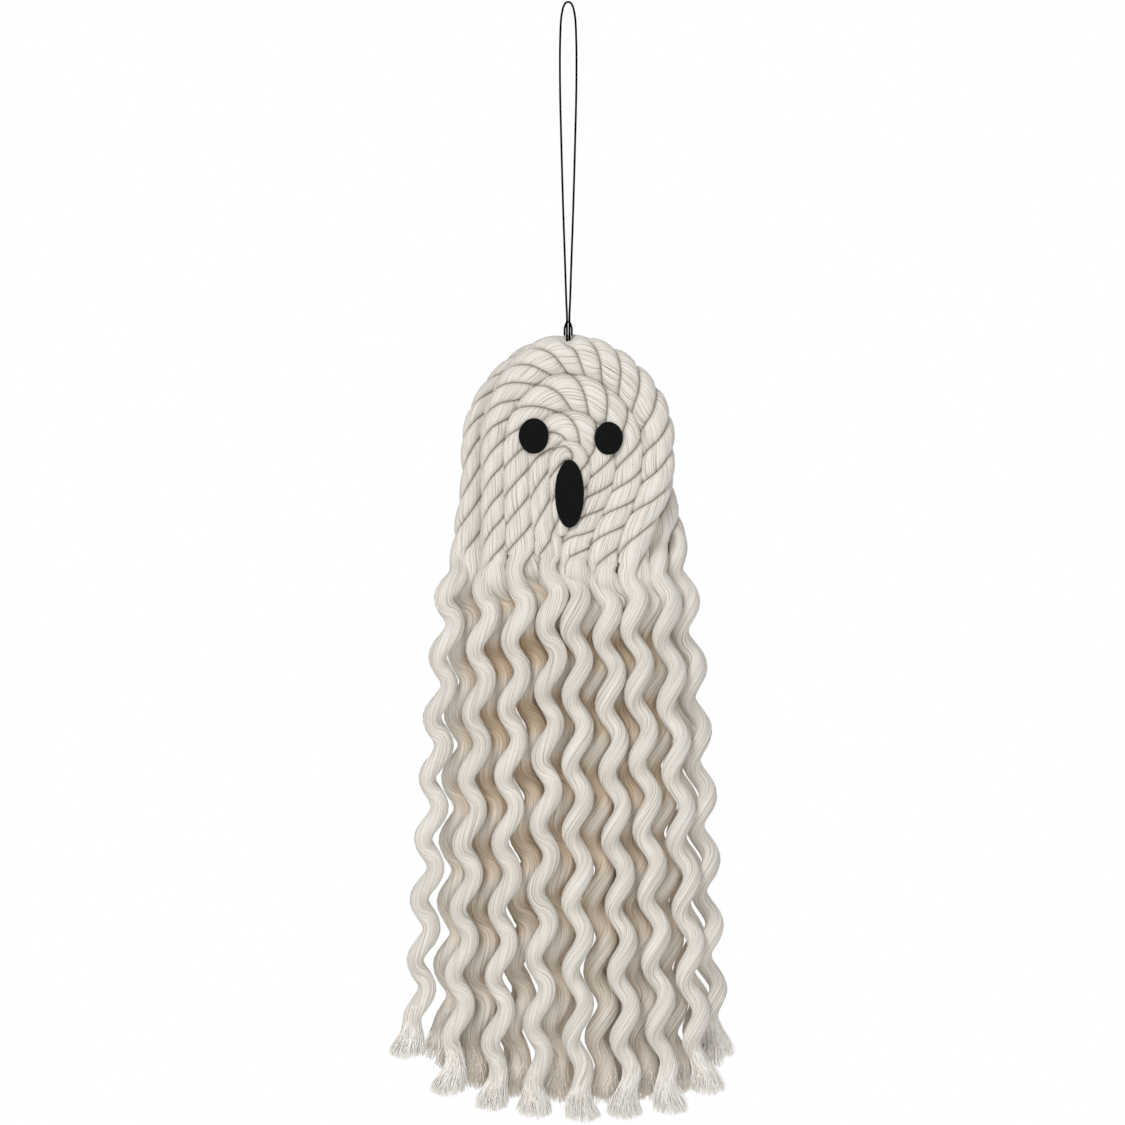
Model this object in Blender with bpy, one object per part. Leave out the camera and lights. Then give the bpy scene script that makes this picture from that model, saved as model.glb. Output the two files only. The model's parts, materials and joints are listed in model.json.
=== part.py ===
"""Hanging ghost decoration made of soft three-strand cotton rope.

Five lengths of rope are bent into nested upside-down U shapes for the head. The ends of
four of them are unlaid, and every strand keeps the corkscrew wave that it had in the rope,
so that the strands hang as a wavy skirt with brushed-out tips. Two felt eyes and a felt
mouth lie on the ropes, and a black thread loop is hitched round the rear rope.

Metres, +Z up, the face looks along -Y. The origin is the underside of the top of the
thread loop, where a hook or a finger bears.
"""

import itertools
import math

import bmesh
import bpy
import numpy as np
from mathutils import Matrix, Vector

MM = 0.001

# Head: the top of the ropes below the bearing point, the seam between the core's legs and
# the x of every bend's highest point. A bend is a little taller than half its width, and
# drawn in at its shoulders.
HEAD_TOP_Z = -127.3 * MM
SEAM_X = 0.5 * MM
APEX_X = -0.5 * MM
BEND_HEIGHT_SHARE = 1.08
SHOULDER_CUT = 0.025
# Rope thickness from front to back, the gap between neighbours that touch, and how deep
# the groove between two strands is, as a share of the rope's radius
ROPE_DEPTH = 10.0 * MM
TOUCH_GAP = 0.3 * MM
GROOVE_SHARE = 0.27
# Ropes that lie side by side press each other flat where they touch
PRESS = 1.25
# Thread of the hanging loop
THREAD_DIAMETER = 0.8 * MM
# Drop below the head's top from which the legs lean sideways, and how far down they do
LEAN_DROP = 52.5 * MM
LEAN_LENGTH = 34.7 * MM

# Each rope of the front layer, from the outside in. Widths are seen from the front, on the
# left leg, at the top of the bend and on the right leg. Leans are the sideways shifts of
# the outer outline's left and right leg. Hem drops are how far below the head's top the
# legs end. The lay is one strand's full turn at the left end, half way and at the right
# end, and the lay start is the turn of the strands half way along the rope, in degrees.
FRONT_ROPES = [
    {
        "name": "outer_rope",
        "widths": (8.9 * MM, 15.6 * MM, 12.7 * MM),
        "leans": (0.0, -10.0 * MM),
        "hem_drops": (87.4 * MM, 87.8 * MM),
        "lay": (31.9 * MM, 27.7 * MM, 48.8 * MM),
        "lay_start": 83.4,
    },
    {
        "name": "second_rope",
        "widths": (9.6 * MM, 14.1 * MM, 10.3 * MM),
        "leans": (1.0 * MM, -9.6 * MM),
        "hem_drops": (84.8 * MM, 88.6 * MM),
        "lay": (33.0 * MM, 30.7 * MM, 31.4 * MM),
        "lay_start": 57.8,
    },
    {
        "name": "third_rope",
        "widths": (7.9 * MM, 11.7 * MM, 9.6 * MM),
        "leans": (2.6 * MM, -10.2 * MM),
        "hem_drops": (85.5 * MM, 85.7 * MM),
        "lay": (39.3 * MM, 30.6 * MM, 23.2 * MM),
        "lay_start": 72.3,
    },
    {
        "name": "core_rope",
        "widths": (7.9 * MM, 7.9 * MM, 7.9 * MM),
        "leans": (3.3 * MM, -10.2 * MM),
        "hem_drops": (75.8 * MM, 73.0 * MM),
        "lay": (30.0 * MM, 27.0 * MM, 24.0 * MM),
        "lay_start": 60.0,
    },
]
# The rear rope lies behind the outer rope and shows past its left edge. Its sides are
# measured from the seam, and it spreads inwards where it opens into strands.
REAR_ROPE = {
    "name": "rear_rope",
    "width": 9.3 * MM,
    "sides": (-41.9 * MM, 39.9 * MM),
    "leans": (-3.9 * MM, 6.0 * MM),
    "spread": (5.5 * MM, -6.5 * MM),
    "hem_drops": (82.5 * MM, 76.7 * MM),
    "lay": (40.9 * MM, 31.5 * MM, 35.6 * MM),
    "lay_start": 107.6,
}

# Skirt strands: diameters of the nine that show and of those behind, and the radius of
# their waves
FRONT_STRAND = 6.7 * MM
INNER_STRAND = 6.1 * MM
WAVE_RADIUS = 2.8 * MM
# The front strands' places across the skirt, measured from the seam, at two drops below
# the head's top
FAN_TOP_DROP = 102.5 * MM
FAN_LOW_DROP = 260.4 * MM
FAN_TOP_X = [x * MM for x in (-45.6, -32.5, -19.4, -6.4, 2.9, 14.4, 24.8, 36.8, 43.6)]
FAN_LOW_X = [x * MM for x in (-58.0, -42.7, -27.1, -11.7, 3.3, 21.2, 34.8, 47.9, 55.2)]
# How far the outermost strands bow outwards between those two drops
FAN_BOWS = [x * MM for x in (-0.9, 0, 0, 0, 0, 0, 0, 0, 1.6)]
# Brings the bow's formula to 1 where it is widest
BOW_PEAK = 27 / 4
# Each front strand's wave: its length, and how far below the head's top it first bulges
# to the right
WAVE_LENGTHS = [x * MM for x in (23.3, 25.0, 25.8, 25.5, 26.4, 25.7, 25.7, 26.1, 24.9)]
BULGE_DROPS = [x * MM for x in (112.4, 108.3, 105.0, 99.1, 99.3, 104.6, 100.8, 104.0, 102.6)]
# Each front strand's tip: its drop below the head's top, and how far it swings aside. The
# strands of the rear rows are shorter
TIP_DROPS = [x * MM for x in (279.5, 293.9, 299.7, 302.4, 304.0, 303.1, 301.2, 293.5, 280.4)]
TIP_SHIFTS = [x * MM for x in (-3.9, -2.3, -1.2, -0.2, 1.8, -1.7, 1.9, 3.2, 0.2)]
INNER_TIP_RISE = 6.0 * MM
# Depth of the rows of strands behind one another, and how far the rows draw apart
FRONT_ROW_SHIFT = -0.5 * MM
ROW_STEP = 7.5 * MM
ROW_SPREAD = 1.0 * MM
# Lengths below the hem over which a strand drifts to its place, takes up its wave and swells
PART_LENGTH = 22.0 * MM
WAVE_GROWTH = 19.0 * MM
SWELL_START = 8.0 * MM
SWELL_LENGTH = 26.0 * MM
# Brushed tip
BRUSH_LENGTH = 15.0 * MM
BRUSH_FLARE = 1.45
# The strands that each leg feeds, as place across the front strands and row in depth
SKIRT_STRANDS = {
    "outer_rope": (((1, 0), (1.5, 1), (1.8, 2)), ((6, 0), (6.45, 1), (6.04, 2))),
    "second_rope": (((2, 0), (2.5, 1), (2.82, 2)), ((5, 0), (5.5, 1), (5.15, 2))),
    "third_rope": (((3, 0), (3.4, 1), (3.58, 2)), ((4, 0), (4.5, 1), (4.38, 2))),
    "rear_rope": (((0, 0), (0.6, 1), (0.85, 2)), ((7, 0), (8, 1), (7.2, 2))),
}

# Felt pieces: centre as shift from the seam and drop below the head's top, then width and
# height seen from the front
FELT_THICKNESS = 1.0 * MM
FELT_PIECES = [
    ("left_eye", (-13.7 * MM, 39.6 * MM), (11.5 * MM, 13.6 * MM)),
    ("right_eye", (15.0 * MM, 40.5 * MM), (10.9 * MM, 12.7 * MM)),
    ("mouth", (0.0, 61.8 * MM), (11.2 * MM, 26.1 * MM)),
]

# Fineness of the faceted surfaces
BEND_SAMPLES = 240
STATIONS_PER_LAY = 8
STEPS_PER_WAVE = 4
# A strand's first stations below its hem, and the least share of a step between stations
FIRST_STATIONS = (3.0 * MM, 6.5 * MM, 10.5 * MM)
LEAST_STEP = 0.4
FRONT_CORNERS = 5
INNER_CORNERS = 4
FELT_SIDES = 28
# Edges sharper than this stay sharp in the shading
SHARP_ANGLE = math.radians(50)

STRANDS = 3
STRAND_TURN = 2 * math.pi / STRANDS
CREST_HALF_TURN = math.radians(26)
# Middle of a strand in the rope's section, and its first free radius, as shares
STRAND_CENTRE_SHARE = 0.53
START_SHARE = 0.72
# Cut rope ends: size of the rounded end face and how far it stands out
CUT_SHARE = 0.6
CUT_BULGE = 1.0 * MM

# The front layer and the rear rope leave room for the thread between them at the top. Away
# from the top, over this share of its length, the rear rope comes forward to touch.
THREAD_ROOM = THREAD_DIAMETER + 2 * TOUCH_GAP
FRONT_LAYER_Y = -(ROPE_DEPTH + THREAD_ROOM) / 2
REAR_TOP_Y = (ROPE_DEPTH + THREAD_ROOM) / 2
REAR_LEG_Y = FRONT_LAYER_Y + ROPE_DEPTH + TOUCH_GAP
REAR_LIFT_SHARE = 0.25

COTTON = ("Unbleached laid cotton", (0.80, 0.76, 0.69), 0.92)
FELT = ("Black wool felt", (0.010, 0.010, 0.010), 0.95)
THREAD = ("Black waxed thread", (0.008, 0.008, 0.008), 0.55)


def smooth_step(value):
    """Rises from 0 to 1 with level ends as value goes from 0 to 1."""
    value = min(max(value, 0.0), 1.0)
    return value * value * (3 - 2 * value)


def mix(first, second, share):
    return first + (second - first) * share


def drop_below_head(drop):
    return HEAD_TOP_Z - drop


class Outline:
    """A line along one side of a rope: up the left leg, over the bend, down the right leg."""

    def __init__(self, left, right, top_z, leans):
        self.sides = (left, right)
        self.leans = leans
        self.height = BEND_HEIGHT_SHARE * (right - left) / 2
        self.spring_z = top_z - self.height

    def leg_point(self, side, z):
        lean = self.leans[side] * smooth_step((drop_below_head(LEAN_DROP) - z) / LEAN_LENGTH)
        return np.array([self.sides[side] + lean, z])

    def point(self, hems, path):
        """path runs 0 to 1 up the left leg, 1 to 2 over the bend and 2 to 3 down the right."""
        if path < 1:
            return self.leg_point(0, mix(hems[0], self.spring_z, path))
        if path > 2:
            return self.leg_point(1, mix(self.spring_z, hems[1], path - 2))
        angle = math.pi * (2 - path)
        reach = (self.sides[1] if math.cos(angle) > 0 else self.sides[0]) - APEX_X
        drawn_in = 1 - SHOULDER_CUT * math.sin(2 * angle) ** 2
        x = APEX_X + reach * abs(math.cos(angle)) * drawn_in
        return np.array([x, self.spring_z + self.height * math.sin(angle) * drawn_in])


def front_outlines():
    """The outlines between the ropes of the front layer, from the outside in, stacked
    outwards from the seam and down from the head's top. The last one is the seam."""
    left = SEAM_X - sum(rope["widths"][0] for rope in FRONT_ROPES)
    right = SEAM_X + sum(rope["widths"][2] for rope in FRONT_ROPES)
    top = HEAD_TOP_Z
    outlines = []
    for rope in FRONT_ROPES:
        outlines.append(Outline(left, right, top, rope["leans"]))
        left += rope["widths"][0]
        right -= rope["widths"][2]
        top -= rope["widths"][1]
    # The seam is upright between the core's legs
    outlines.append(Outline(left, right, top, (0.0, 0.0)))
    return outlines


class RopeLine:
    """The middle line of a bent rope, with its half width and the turn of its strands."""

    def __init__(self, outer, inner, rope, pressed):
        hems = [drop_below_head(drop) for drop in rope["hem_drops"]]
        lay = rope["lay"]
        self.pressed = pressed
        paths = np.linspace(0, 3, BEND_SAMPLES)
        outside = np.array([outer.point(hems, p) for p in paths])
        inside = np.array([inner.point(hems, p) for p in paths])
        self.points = (outside + inside) / 2
        along = np.gradient(self.points, axis=0)
        along /= np.linalg.norm(along, axis=1)[:, None]
        across = outside - inside
        widths = np.abs(across[:, 0] * along[:, 1] - across[:, 1] * along[:, 0])
        self.half_widths = (widths - TOUCH_GAP) / 2
        steps = np.linalg.norm(np.diff(self.points, axis=0), axis=1)
        self.lengths = np.concatenate([[0], np.cumsum(steps)])
        self.length = self.lengths[-1]
        from_middle = 2 * self.lengths / self.length - 1
        end_lay = np.where(from_middle < 0, lay[0], lay[2])
        rate = 2 * math.pi / mix(lay[1], end_lay, from_middle**2)
        turns = np.concatenate([[0], np.cumsum((rate[1:] + rate[:-1]) / 2 * steps)])
        middle_turn = np.interp(self.length / 2, self.lengths, turns)
        self.turns = turns - middle_turn + math.radians(rope["lay_start"])
        self.mean_lay = sum(lay) / len(lay)

    def at(self, length):
        """Middle point, forward direction, half width and turn at a length along the rope."""
        x, z = (np.interp(length, self.lengths, self.points[:, i]) for i in (0, 1))
        ahead, behind = (
            np.array([np.interp(length + d, self.lengths, self.points[:, i]) for i in (0, 1)])
            for d in (MM, -MM)
        )
        forward = (ahead - behind) / np.linalg.norm(ahead - behind)
        half_width = np.interp(length, self.lengths, self.half_widths)
        return np.array([x, z]), forward, half_width, np.interp(length, self.lengths, self.turns)


def section_point(line, length, depth_y, turn_share, radius_share):
    """A point of the rope's section: turn_share is measured from a groove, in radians."""
    centre, forward, half_width, turn = line.at(length)
    outward = np.array([-forward[1], forward[0]])
    angle = turn + turn_share
    across = radius_share * math.cos(angle)
    if line.pressed[0 if across > 0 else 1]:
        across = min(max(across * PRESS, -1.0), 1.0)
    sideways = across * half_width
    forwards = radius_share * ROPE_DEPTH / 2 * math.sin(angle)
    x, z = centre + sideways * outward
    return Vector((x, depth_y - forwards, z))


def rope_ring(mesh, line, length, depth_y):
    """Nine corners round the rope: for each strand its groove and the two sides of its crest."""
    corners = []
    for strand in range(STRANDS):
        start = strand * STRAND_TURN
        middle = start + STRAND_TURN / 2
        groove = section_point(line, length, depth_y, start, 1 - GROOVE_SHARE)
        crest = [
            section_point(line, length, depth_y, middle + side * CREST_HALF_TURN, 1.0)
            for side in (-1, 1)
        ]
        corners += [mesh.verts.new(point) for point in (groove, *crest)]
    return corners


def bridge(mesh, first, second):
    """Faces between two rings. A second ring with one corner less takes a triangle."""
    spare = len(first) - len(second)
    padded = list(second) + [second[-1]] * spare
    for i, corner in enumerate(first):
        following = (i + 1) % len(first)
        corners = [corner, first[following], padded[following], padded[i]]
        mesh.faces.new(list(dict.fromkeys(corners)))


class Strand:
    """Where one unlaid strand hangs in the skirt: across, in depth, and how it waves. Its
    place is counted across the front strands, and may lie between two of them."""

    def __init__(self, place, row):
        places = range(len(FAN_TOP_X))
        inner = place != round(place)
        self.row = row
        self.diameter = INNER_STRAND if inner else FRONT_STRAND
        self.top_x = SEAM_X + np.interp(place, places, FAN_TOP_X)
        self.low_x = SEAM_X + np.interp(place, places, FAN_LOW_X)
        self.bulge_z = drop_below_head(np.interp(place, places, BULGE_DROPS))
        self.wave_length = np.interp(place, places, WAVE_LENGTHS)
        self.bow = np.interp(place, places, FAN_BOWS)
        self.tip_shift = np.interp(place, places, TIP_SHIFTS)
        rise = INNER_TIP_RISE if inner else 0.0
        self.tip_z = drop_below_head(np.interp(place, places, TIP_DROPS) - rise)
        self.corners = INNER_CORNERS if inner else FRONT_CORNERS

    def axis(self, z):
        fall = (drop_below_head(FAN_TOP_DROP) - z) / (FAN_LOW_DROP - FAN_TOP_DROP)
        bowed = min(max(fall, 0.0), 1.0)
        x = mix(self.top_x, self.low_x, fall) + self.bow * BOW_PEAK * bowed * (1 - bowed) ** 2
        x += self.tip_shift * self.brushed(z) ** 2
        depth = self.row * (ROW_STEP + ROW_SPREAD * max(fall, 0.0))
        return np.array([x, FRONT_LAYER_Y + FRONT_ROW_SHIFT + depth])

    def brushed(self, z):
        """Rises from 0 to 1 over the strand's last stretch, where its wave runs out."""
        return smooth_step((self.tip_z + 2 * BRUSH_LENGTH - z) / (2 * BRUSH_LENGTH))

    def turn(self, z):
        return 2 * math.pi * (z - self.bulge_z) / self.wave_length


def strand_heights(hem_z, strand):
    """Heights of the strand's stations: close together where it parts from its rope."""
    heights = [hem_z - drop for drop in FIRST_STATIONS]
    step = sum(WAVE_LENGTHS) / len(WAVE_LENGTHS) / STEPS_PER_WAVE
    brush_z = strand.tip_z + BRUSH_LENGTH
    # The stations lie at the same heights on all strands, so that neighbours stay parallel
    common_z = drop_below_head(FAN_TOP_DROP)
    first = math.ceil((common_z - heights[-1]) / step + LEAST_STEP)
    last = math.floor((common_z - brush_z) / step - LEAST_STEP)
    heights += [common_z - i * step for i in range(first, last + 1)]
    return heights + [brush_z, strand.tip_z + BRUSH_LENGTH / 2, strand.tip_z]


def strand_centre(z, hem_z, lobe, strand):
    """The strand's middle at a height: it leaves the rope at its lobe, drifts to its place
    in the skirt and takes up its wave."""
    fallen = hem_z - z
    axis = mix(lobe, strand.axis(z), smooth_step(fallen / PART_LENGTH))
    radius = WAVE_RADIUS * smooth_step(fallen / WAVE_GROWTH) * (1 - strand.brushed(z))
    angle = strand.turn(z)
    x, y = axis + radius * np.array([math.cos(angle), math.sin(angle)])
    return Vector((x, y, z))


def strand_radius(fallen, start_radius, strand):
    """The strand's radius at a distance below its hem, where it has no rope to press it."""
    swollen = smooth_step((fallen - SWELL_START) / SWELL_LENGTH)
    return mix(start_radius, strand.diameter / 2, swollen)


def strand_ring(mesh, centre, forward, radii, start, turn_sign, corners):
    """Corners round a hanging strand, square to its direction."""
    sideways = (Vector((1, 0, 0)) - forward * forward.x).normalized()
    backwards = forward.cross(sideways)
    if backwards.y < 0:
        backwards = -backwards
    ring = []
    for i in range(corners):
        angle = start + turn_sign * 2 * math.pi * i / corners
        offset = sideways * radii[0] * math.cos(angle) + backwards * radii[1] * math.sin(angle)
        ring.append(mesh.verts.new(centre + offset))
    return ring


def hang_strand(mesh, ring, hem_z, lobe, start_radius, strand, turn_sign):
    """Carries one lobe of a rope's last section on as an unlaid strand, down to its tip."""
    outer = ring[0].co - Vector((*lobe, hem_z))
    start = math.atan2(outer.y, outer.x)
    for z in strand_heights(hem_z, strand):
        brushed = smooth_step((strand.tip_z + BRUSH_LENGTH - z) / BRUSH_LENGTH)
        radius = strand_radius(hem_z - z, start_radius, strand)
        radii = (radius * mix(1, BRUSH_FLARE, brushed), radius)
        centre = strand_centre(z, hem_z, lobe, strand)
        above, below = (strand_centre(z + d, hem_z, lobe, strand) for d in (MM, -MM))
        forward = (below - above).normalized()
        next_ring = strand_ring(mesh, centre, forward, radii, start, turn_sign, strand.corners)
        bridge(mesh, ring, next_ring)
        ring = next_ring
    mesh.faces.new(ring)


def nearest_order(lobes, strands):
    """The lobes in the order in which they feed these strands with the least crossing."""
    fan_top_z = drop_below_head(FAN_TOP_DROP)

    def spread(order):
        gaps = [lobe[0] - s.axis(fan_top_z) for lobe, s in zip(order, strands, strict=True)]
        return sum(float(gap @ gap) for gap in gaps)

    return min(itertools.permutations(lobes), key=spread)


def hang_leg(mesh, line, depth_y, ring, at_start, strands):
    """Splits a leg's last section into its three strands, which share the rope's heart."""
    length = 0.0 if at_start else line.length
    centre, _, half_width, turn = line.at(length)
    leg = np.array([centre[0], depth_y])
    heart = mesh.verts.new((centre[0], depth_y, centre[1]))
    lobe_radii = STRAND_CENTRE_SHARE * np.array([half_width, ROPE_DEPTH / 2])
    lobes = []
    for lobe in range(STRANDS):
        angle = turn + (lobe + 0.5) * STRAND_TURN
        # Seen from above, the section's turn runs the other way on the right leg
        from_above = angle + math.pi if at_start else -angle
        place = leg + lobe_radii * np.array([math.cos(from_above), math.sin(from_above)])
        corners = [ring[(3 * lobe + i) % len(ring)] for i in range(4)] + [heart]
        lobes.append((place, corners))
    turn_sign = 1 if at_start else -1
    start_radius = min(lobe_radii) * START_SHARE
    for (place, corners), strand in zip(nearest_order(lobes, strands), strands, strict=True):
        hang_strand(mesh, corners, centre[1], place, start_radius, strand, turn_sign)


def cap_leg(mesh, line, depth_y, ring, at_start):
    """Closes a cut rope end with a slightly rounded face."""
    length = 0.0 if at_start else line.length
    centre = line.at(length)[0]
    middle = Vector((centre[0], depth_y, centre[1]))
    bulge = Vector((0, 0, CUT_BULGE))
    inset = [mesh.verts.new(middle + (v.co - middle) * CUT_SHARE - bulge) for v in ring]
    bridge(mesh, ring, inset)
    mesh.faces.new(inset)


def build_rope(name, line, depth_at, collection):
    """One rope as a closed body: its bend and legs, and its unlaid strands or cut ends."""
    mesh = bmesh.new()
    count = round(STATIONS_PER_LAY * line.length / line.mean_lay)
    lengths = [line.length * i / count for i in range(count + 1)]
    rings = [rope_ring(mesh, line, length, depth_at(length / line.length)) for length in lengths]
    for first, second in zip(rings, rings[1:]):
        bridge(mesh, first, second)
    left_leg, right_leg = SKIRT_STRANDS.get(name, ((), ()))
    for ring, at_start, leg in ((rings[0], True, left_leg), (rings[-1], False, right_leg)):
        depth_y = depth_at(0.0 if at_start else 1.0)
        if leg:
            strands = [Strand(place, row) for place, row in leg]
            hang_leg(mesh, line, depth_y, ring, at_start, strands)
        else:
            cap_leg(mesh, line, depth_y, ring, at_start)
    bmesh.ops.recalc_face_normals(mesh, faces=mesh.faces)
    return finish_mesh(name, mesh, COTTON, collection)


def front_depth(_share):
    """The ropes of the front layer lie flat."""
    return FRONT_LAYER_Y


def rear_depth(share):
    """The rear rope stands off at the top, where the thread passes in front of it."""
    lift = smooth_step(1 - abs(share - 0.5) / REAR_LIFT_SHARE)
    return mix(REAR_LEG_Y, REAR_TOP_Y, lift)


def build_ropes(collection):
    outlines = front_outlines()
    for rope, outer, inner in zip(FRONT_ROPES, outlines, outlines[1:]):
        # The outermost rope has no neighbour on its outer side
        pressed = (outer is not outlines[0], True)
        line = RopeLine(outer, inner, rope, pressed)
        build_rope(rope["name"], line, front_depth, collection)
    left, right = (SEAM_X + side for side in REAR_ROPE["sides"])
    width = REAR_ROPE["width"]
    outer = Outline(left, right, HEAD_TOP_Z, REAR_ROPE["leans"])
    inner_leans = [lean + spread for lean, spread in zip(REAR_ROPE["leans"], REAR_ROPE["spread"])]
    inner = Outline(left + width, right - width, HEAD_TOP_Z - width, inner_leans)
    line = RopeLine(outer, inner, REAR_ROPE, (False, False))
    build_rope(REAR_ROPE["name"], line, rear_depth, collection)


def build_felt_piece(name, place, size, collection):
    """A flat oval of felt that lies on the crests of the front ropes."""
    mesh = bmesh.new()
    shift, drop = place
    back_y = FRONT_LAYER_Y - ROPE_DEPTH / 2 - TOUCH_GAP
    middle = Vector((SEAM_X + shift, back_y - FELT_THICKNESS / 2, drop_below_head(drop)))
    to_oval = Matrix.Diagonal((size[0] / 2, size[1] / 2, FELT_THICKNESS, 1.0))
    face_front = Matrix.Rotation(math.radians(90), 4, "X")
    bmesh.ops.create_cone(
        mesh,
        cap_ends=True,
        segments=FELT_SIDES,
        radius1=1.0,
        radius2=1.0,
        depth=1.0,
        matrix=Matrix.Translation(middle) @ face_front @ to_oval,
    )
    return finish_mesh(name, mesh, FELT, collection)


def loop_route():
    """The thread's route: from under the rear rope up the right leg of the loop, over the
    top, down the left leg, round the rear rope and through a hitch in front of both legs,
    and back under the rope to where it began."""
    off = THREAD_DIAMETER / 2 + TOUCH_GAP
    rope_top = HEAD_TOP_Z + off
    rope_z = HEAD_TOP_Z - REAR_ROPE["width"] / 2
    leg_x = 0.48 * MM
    side_x = 1.4 * MM

    def on_rope(x, degrees):
        """A point of the thread's way round the rear rope, turned upwards from the back."""
        angle = math.radians(degrees)
        y = REAR_TOP_Y + (ROPE_DEPTH / 2 + off) * math.cos(angle)
        return (x, y, rope_z + (REAR_ROPE["width"] / 2 + off) * math.sin(angle))

    right_leg = [
        on_rope(leg_x, 240),
        on_rope(leg_x, 210),
        on_rope(leg_x, 180),
        (leg_x, 0, rope_top),
        (leg_x, 0, rope_top + 3.5 * MM),
        (leg_x, 0, rope_top + 6.5 * MM),
        (0.75 * MM, 0, -114.3 * MM),
        (1.25 * MM, 0, -99 * MM),
        (1.8 * MM, 0, -83.5 * MM),
        (2.27 * MM, 0, -68 * MM),
        (2.68 * MM, 0, -52.7 * MM),
        (3.06 * MM, 0, -37.3 * MM),
        (3.2 * MM, 0, -22 * MM),
        (3.05 * MM, 0, -12.7 * MM),
        (2.77 * MM, 0, -6.5 * MM),
        (2.17 * MM, 0, -2.7 * MM),
        (1.6 * MM, 0, -0.9 * MM),
        (0.9 * MM, 0, 0.1 * MM),
    ]
    bend = [(0, 0, THREAD_DIAMETER / 2)]
    left_leg = [(-x, y, z) for x, y, z in reversed(right_leg[1:])]
    round_rope = [
        on_rope(-leg_x, 240),
        on_rope(-0.9 * MM, 275),
        on_rope(-side_x, 315),
        on_rope(-side_x, 0),
        on_rope(-side_x, 45),
        on_rope(-side_x, 90),
        on_rope(-side_x, 125),
        (-side_x, 0.8 * MM, rope_top + 0.3 * MM),
        (-side_x, -0.3 * MM, rope_top + 1.1 * MM),
        (-1.2 * MM, -0.85 * MM, rope_top + 2.1 * MM),
    ]
    cross_bar = [
        (-0.85 * MM, -1.0 * MM, rope_top + 3.1 * MM),
        (-0.35 * MM, -1.0 * MM, rope_top + 3.75 * MM),
    ]
    other_side = [(-x, y, z) for x, y, z in reversed(round_rope[1:] + cross_bar)]
    return right_leg + bend + left_leg + round_rope + cross_bar + other_side


def smooth_through(route, samples):
    """A smooth curve through the route's points, with samples points to each stretch."""
    points = [Vector(p) for p in route]
    points = [2 * points[0] - points[1], *points, 2 * points[-1] - points[-2]]
    curve = []
    for before, start, end, after in zip(points, points[1:], points[2:], points[3:]):
        for i in range(samples):
            t = i / samples
            curve.append(
                start
                + (end - before) * t / 2
                + (2 * before - 5 * start + 4 * end - after) * t**2 / 2
                + (3 * (start - end) + after - before) * t**3 / 2
            )
    curve.append(points[-2])
    return curve


def build_loop(collection):
    """The black thread as one round cord with closed ends."""
    curve = bpy.data.curves.new("hanging_loop", "CURVE")
    curve.dimensions = "3D"
    curve.bevel_depth = THREAD_DIAMETER / 2
    curve.bevel_resolution = 2
    curve.use_fill_caps = True
    points = smooth_through(loop_route(), 1)
    spline = curve.splines.new("POLY")
    spline.points.add(len(points) - 1)
    for place, point in zip(spline.points, points, strict=True):
        place.co = (*point, 1.0)
    curve.materials.append(material(*THREAD))
    loop = bpy.data.objects.new("hanging_loop", curve)
    collection.objects.link(loop)
    return loop


def material(name, colour, roughness):
    """A plain material of this colour, made once."""
    found = bpy.data.materials.get(name)
    if found:
        return found
    made = bpy.data.materials.new(name)
    made.use_nodes = True
    shader = made.node_tree.nodes["Principled BSDF"]
    shader.inputs["Base Color"].default_value = (*colour, 1.0)
    shader.inputs["Roughness"].default_value = roughness
    shader.inputs["Metallic"].default_value = 0.0
    made.diffuse_color = (*colour, 1.0)
    return made


def finish_mesh(name, mesh, finish, collection):
    """Makes an object of the mesh, with its material and smooth rounds."""
    data = bpy.data.meshes.new(name)
    mesh.to_mesh(data)
    mesh.free()
    data.materials.append(material(*finish))
    data.shade_smooth()
    data.set_sharp_from_angle(angle=SHARP_ANGLE)
    made = bpy.data.objects.new(name, data)
    collection.objects.link(made)
    return made


def main():
    for old in list(bpy.data.objects):
        bpy.data.objects.remove(old)
    collection = bpy.data.collections.new("Ghost decoration")
    bpy.context.scene.collection.children.link(collection)
    build_ropes(collection)
    for name, place, size in FELT_PIECES:
        build_felt_piece(name, place, size, collection)
    build_loop(collection)


main()
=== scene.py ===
"""Looks of the hanging ghost made of soft laid cotton rope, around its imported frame.

Every strand is one mesh that runs from its brushed tip up its wave, through the lay of its
rope over the head, and down to its other tip. Yarns, loose fibres, felt and thread are
modelled as well. Metres, +Z up, the face looks along -Y.
"""

import itertools
import json
import math

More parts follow.
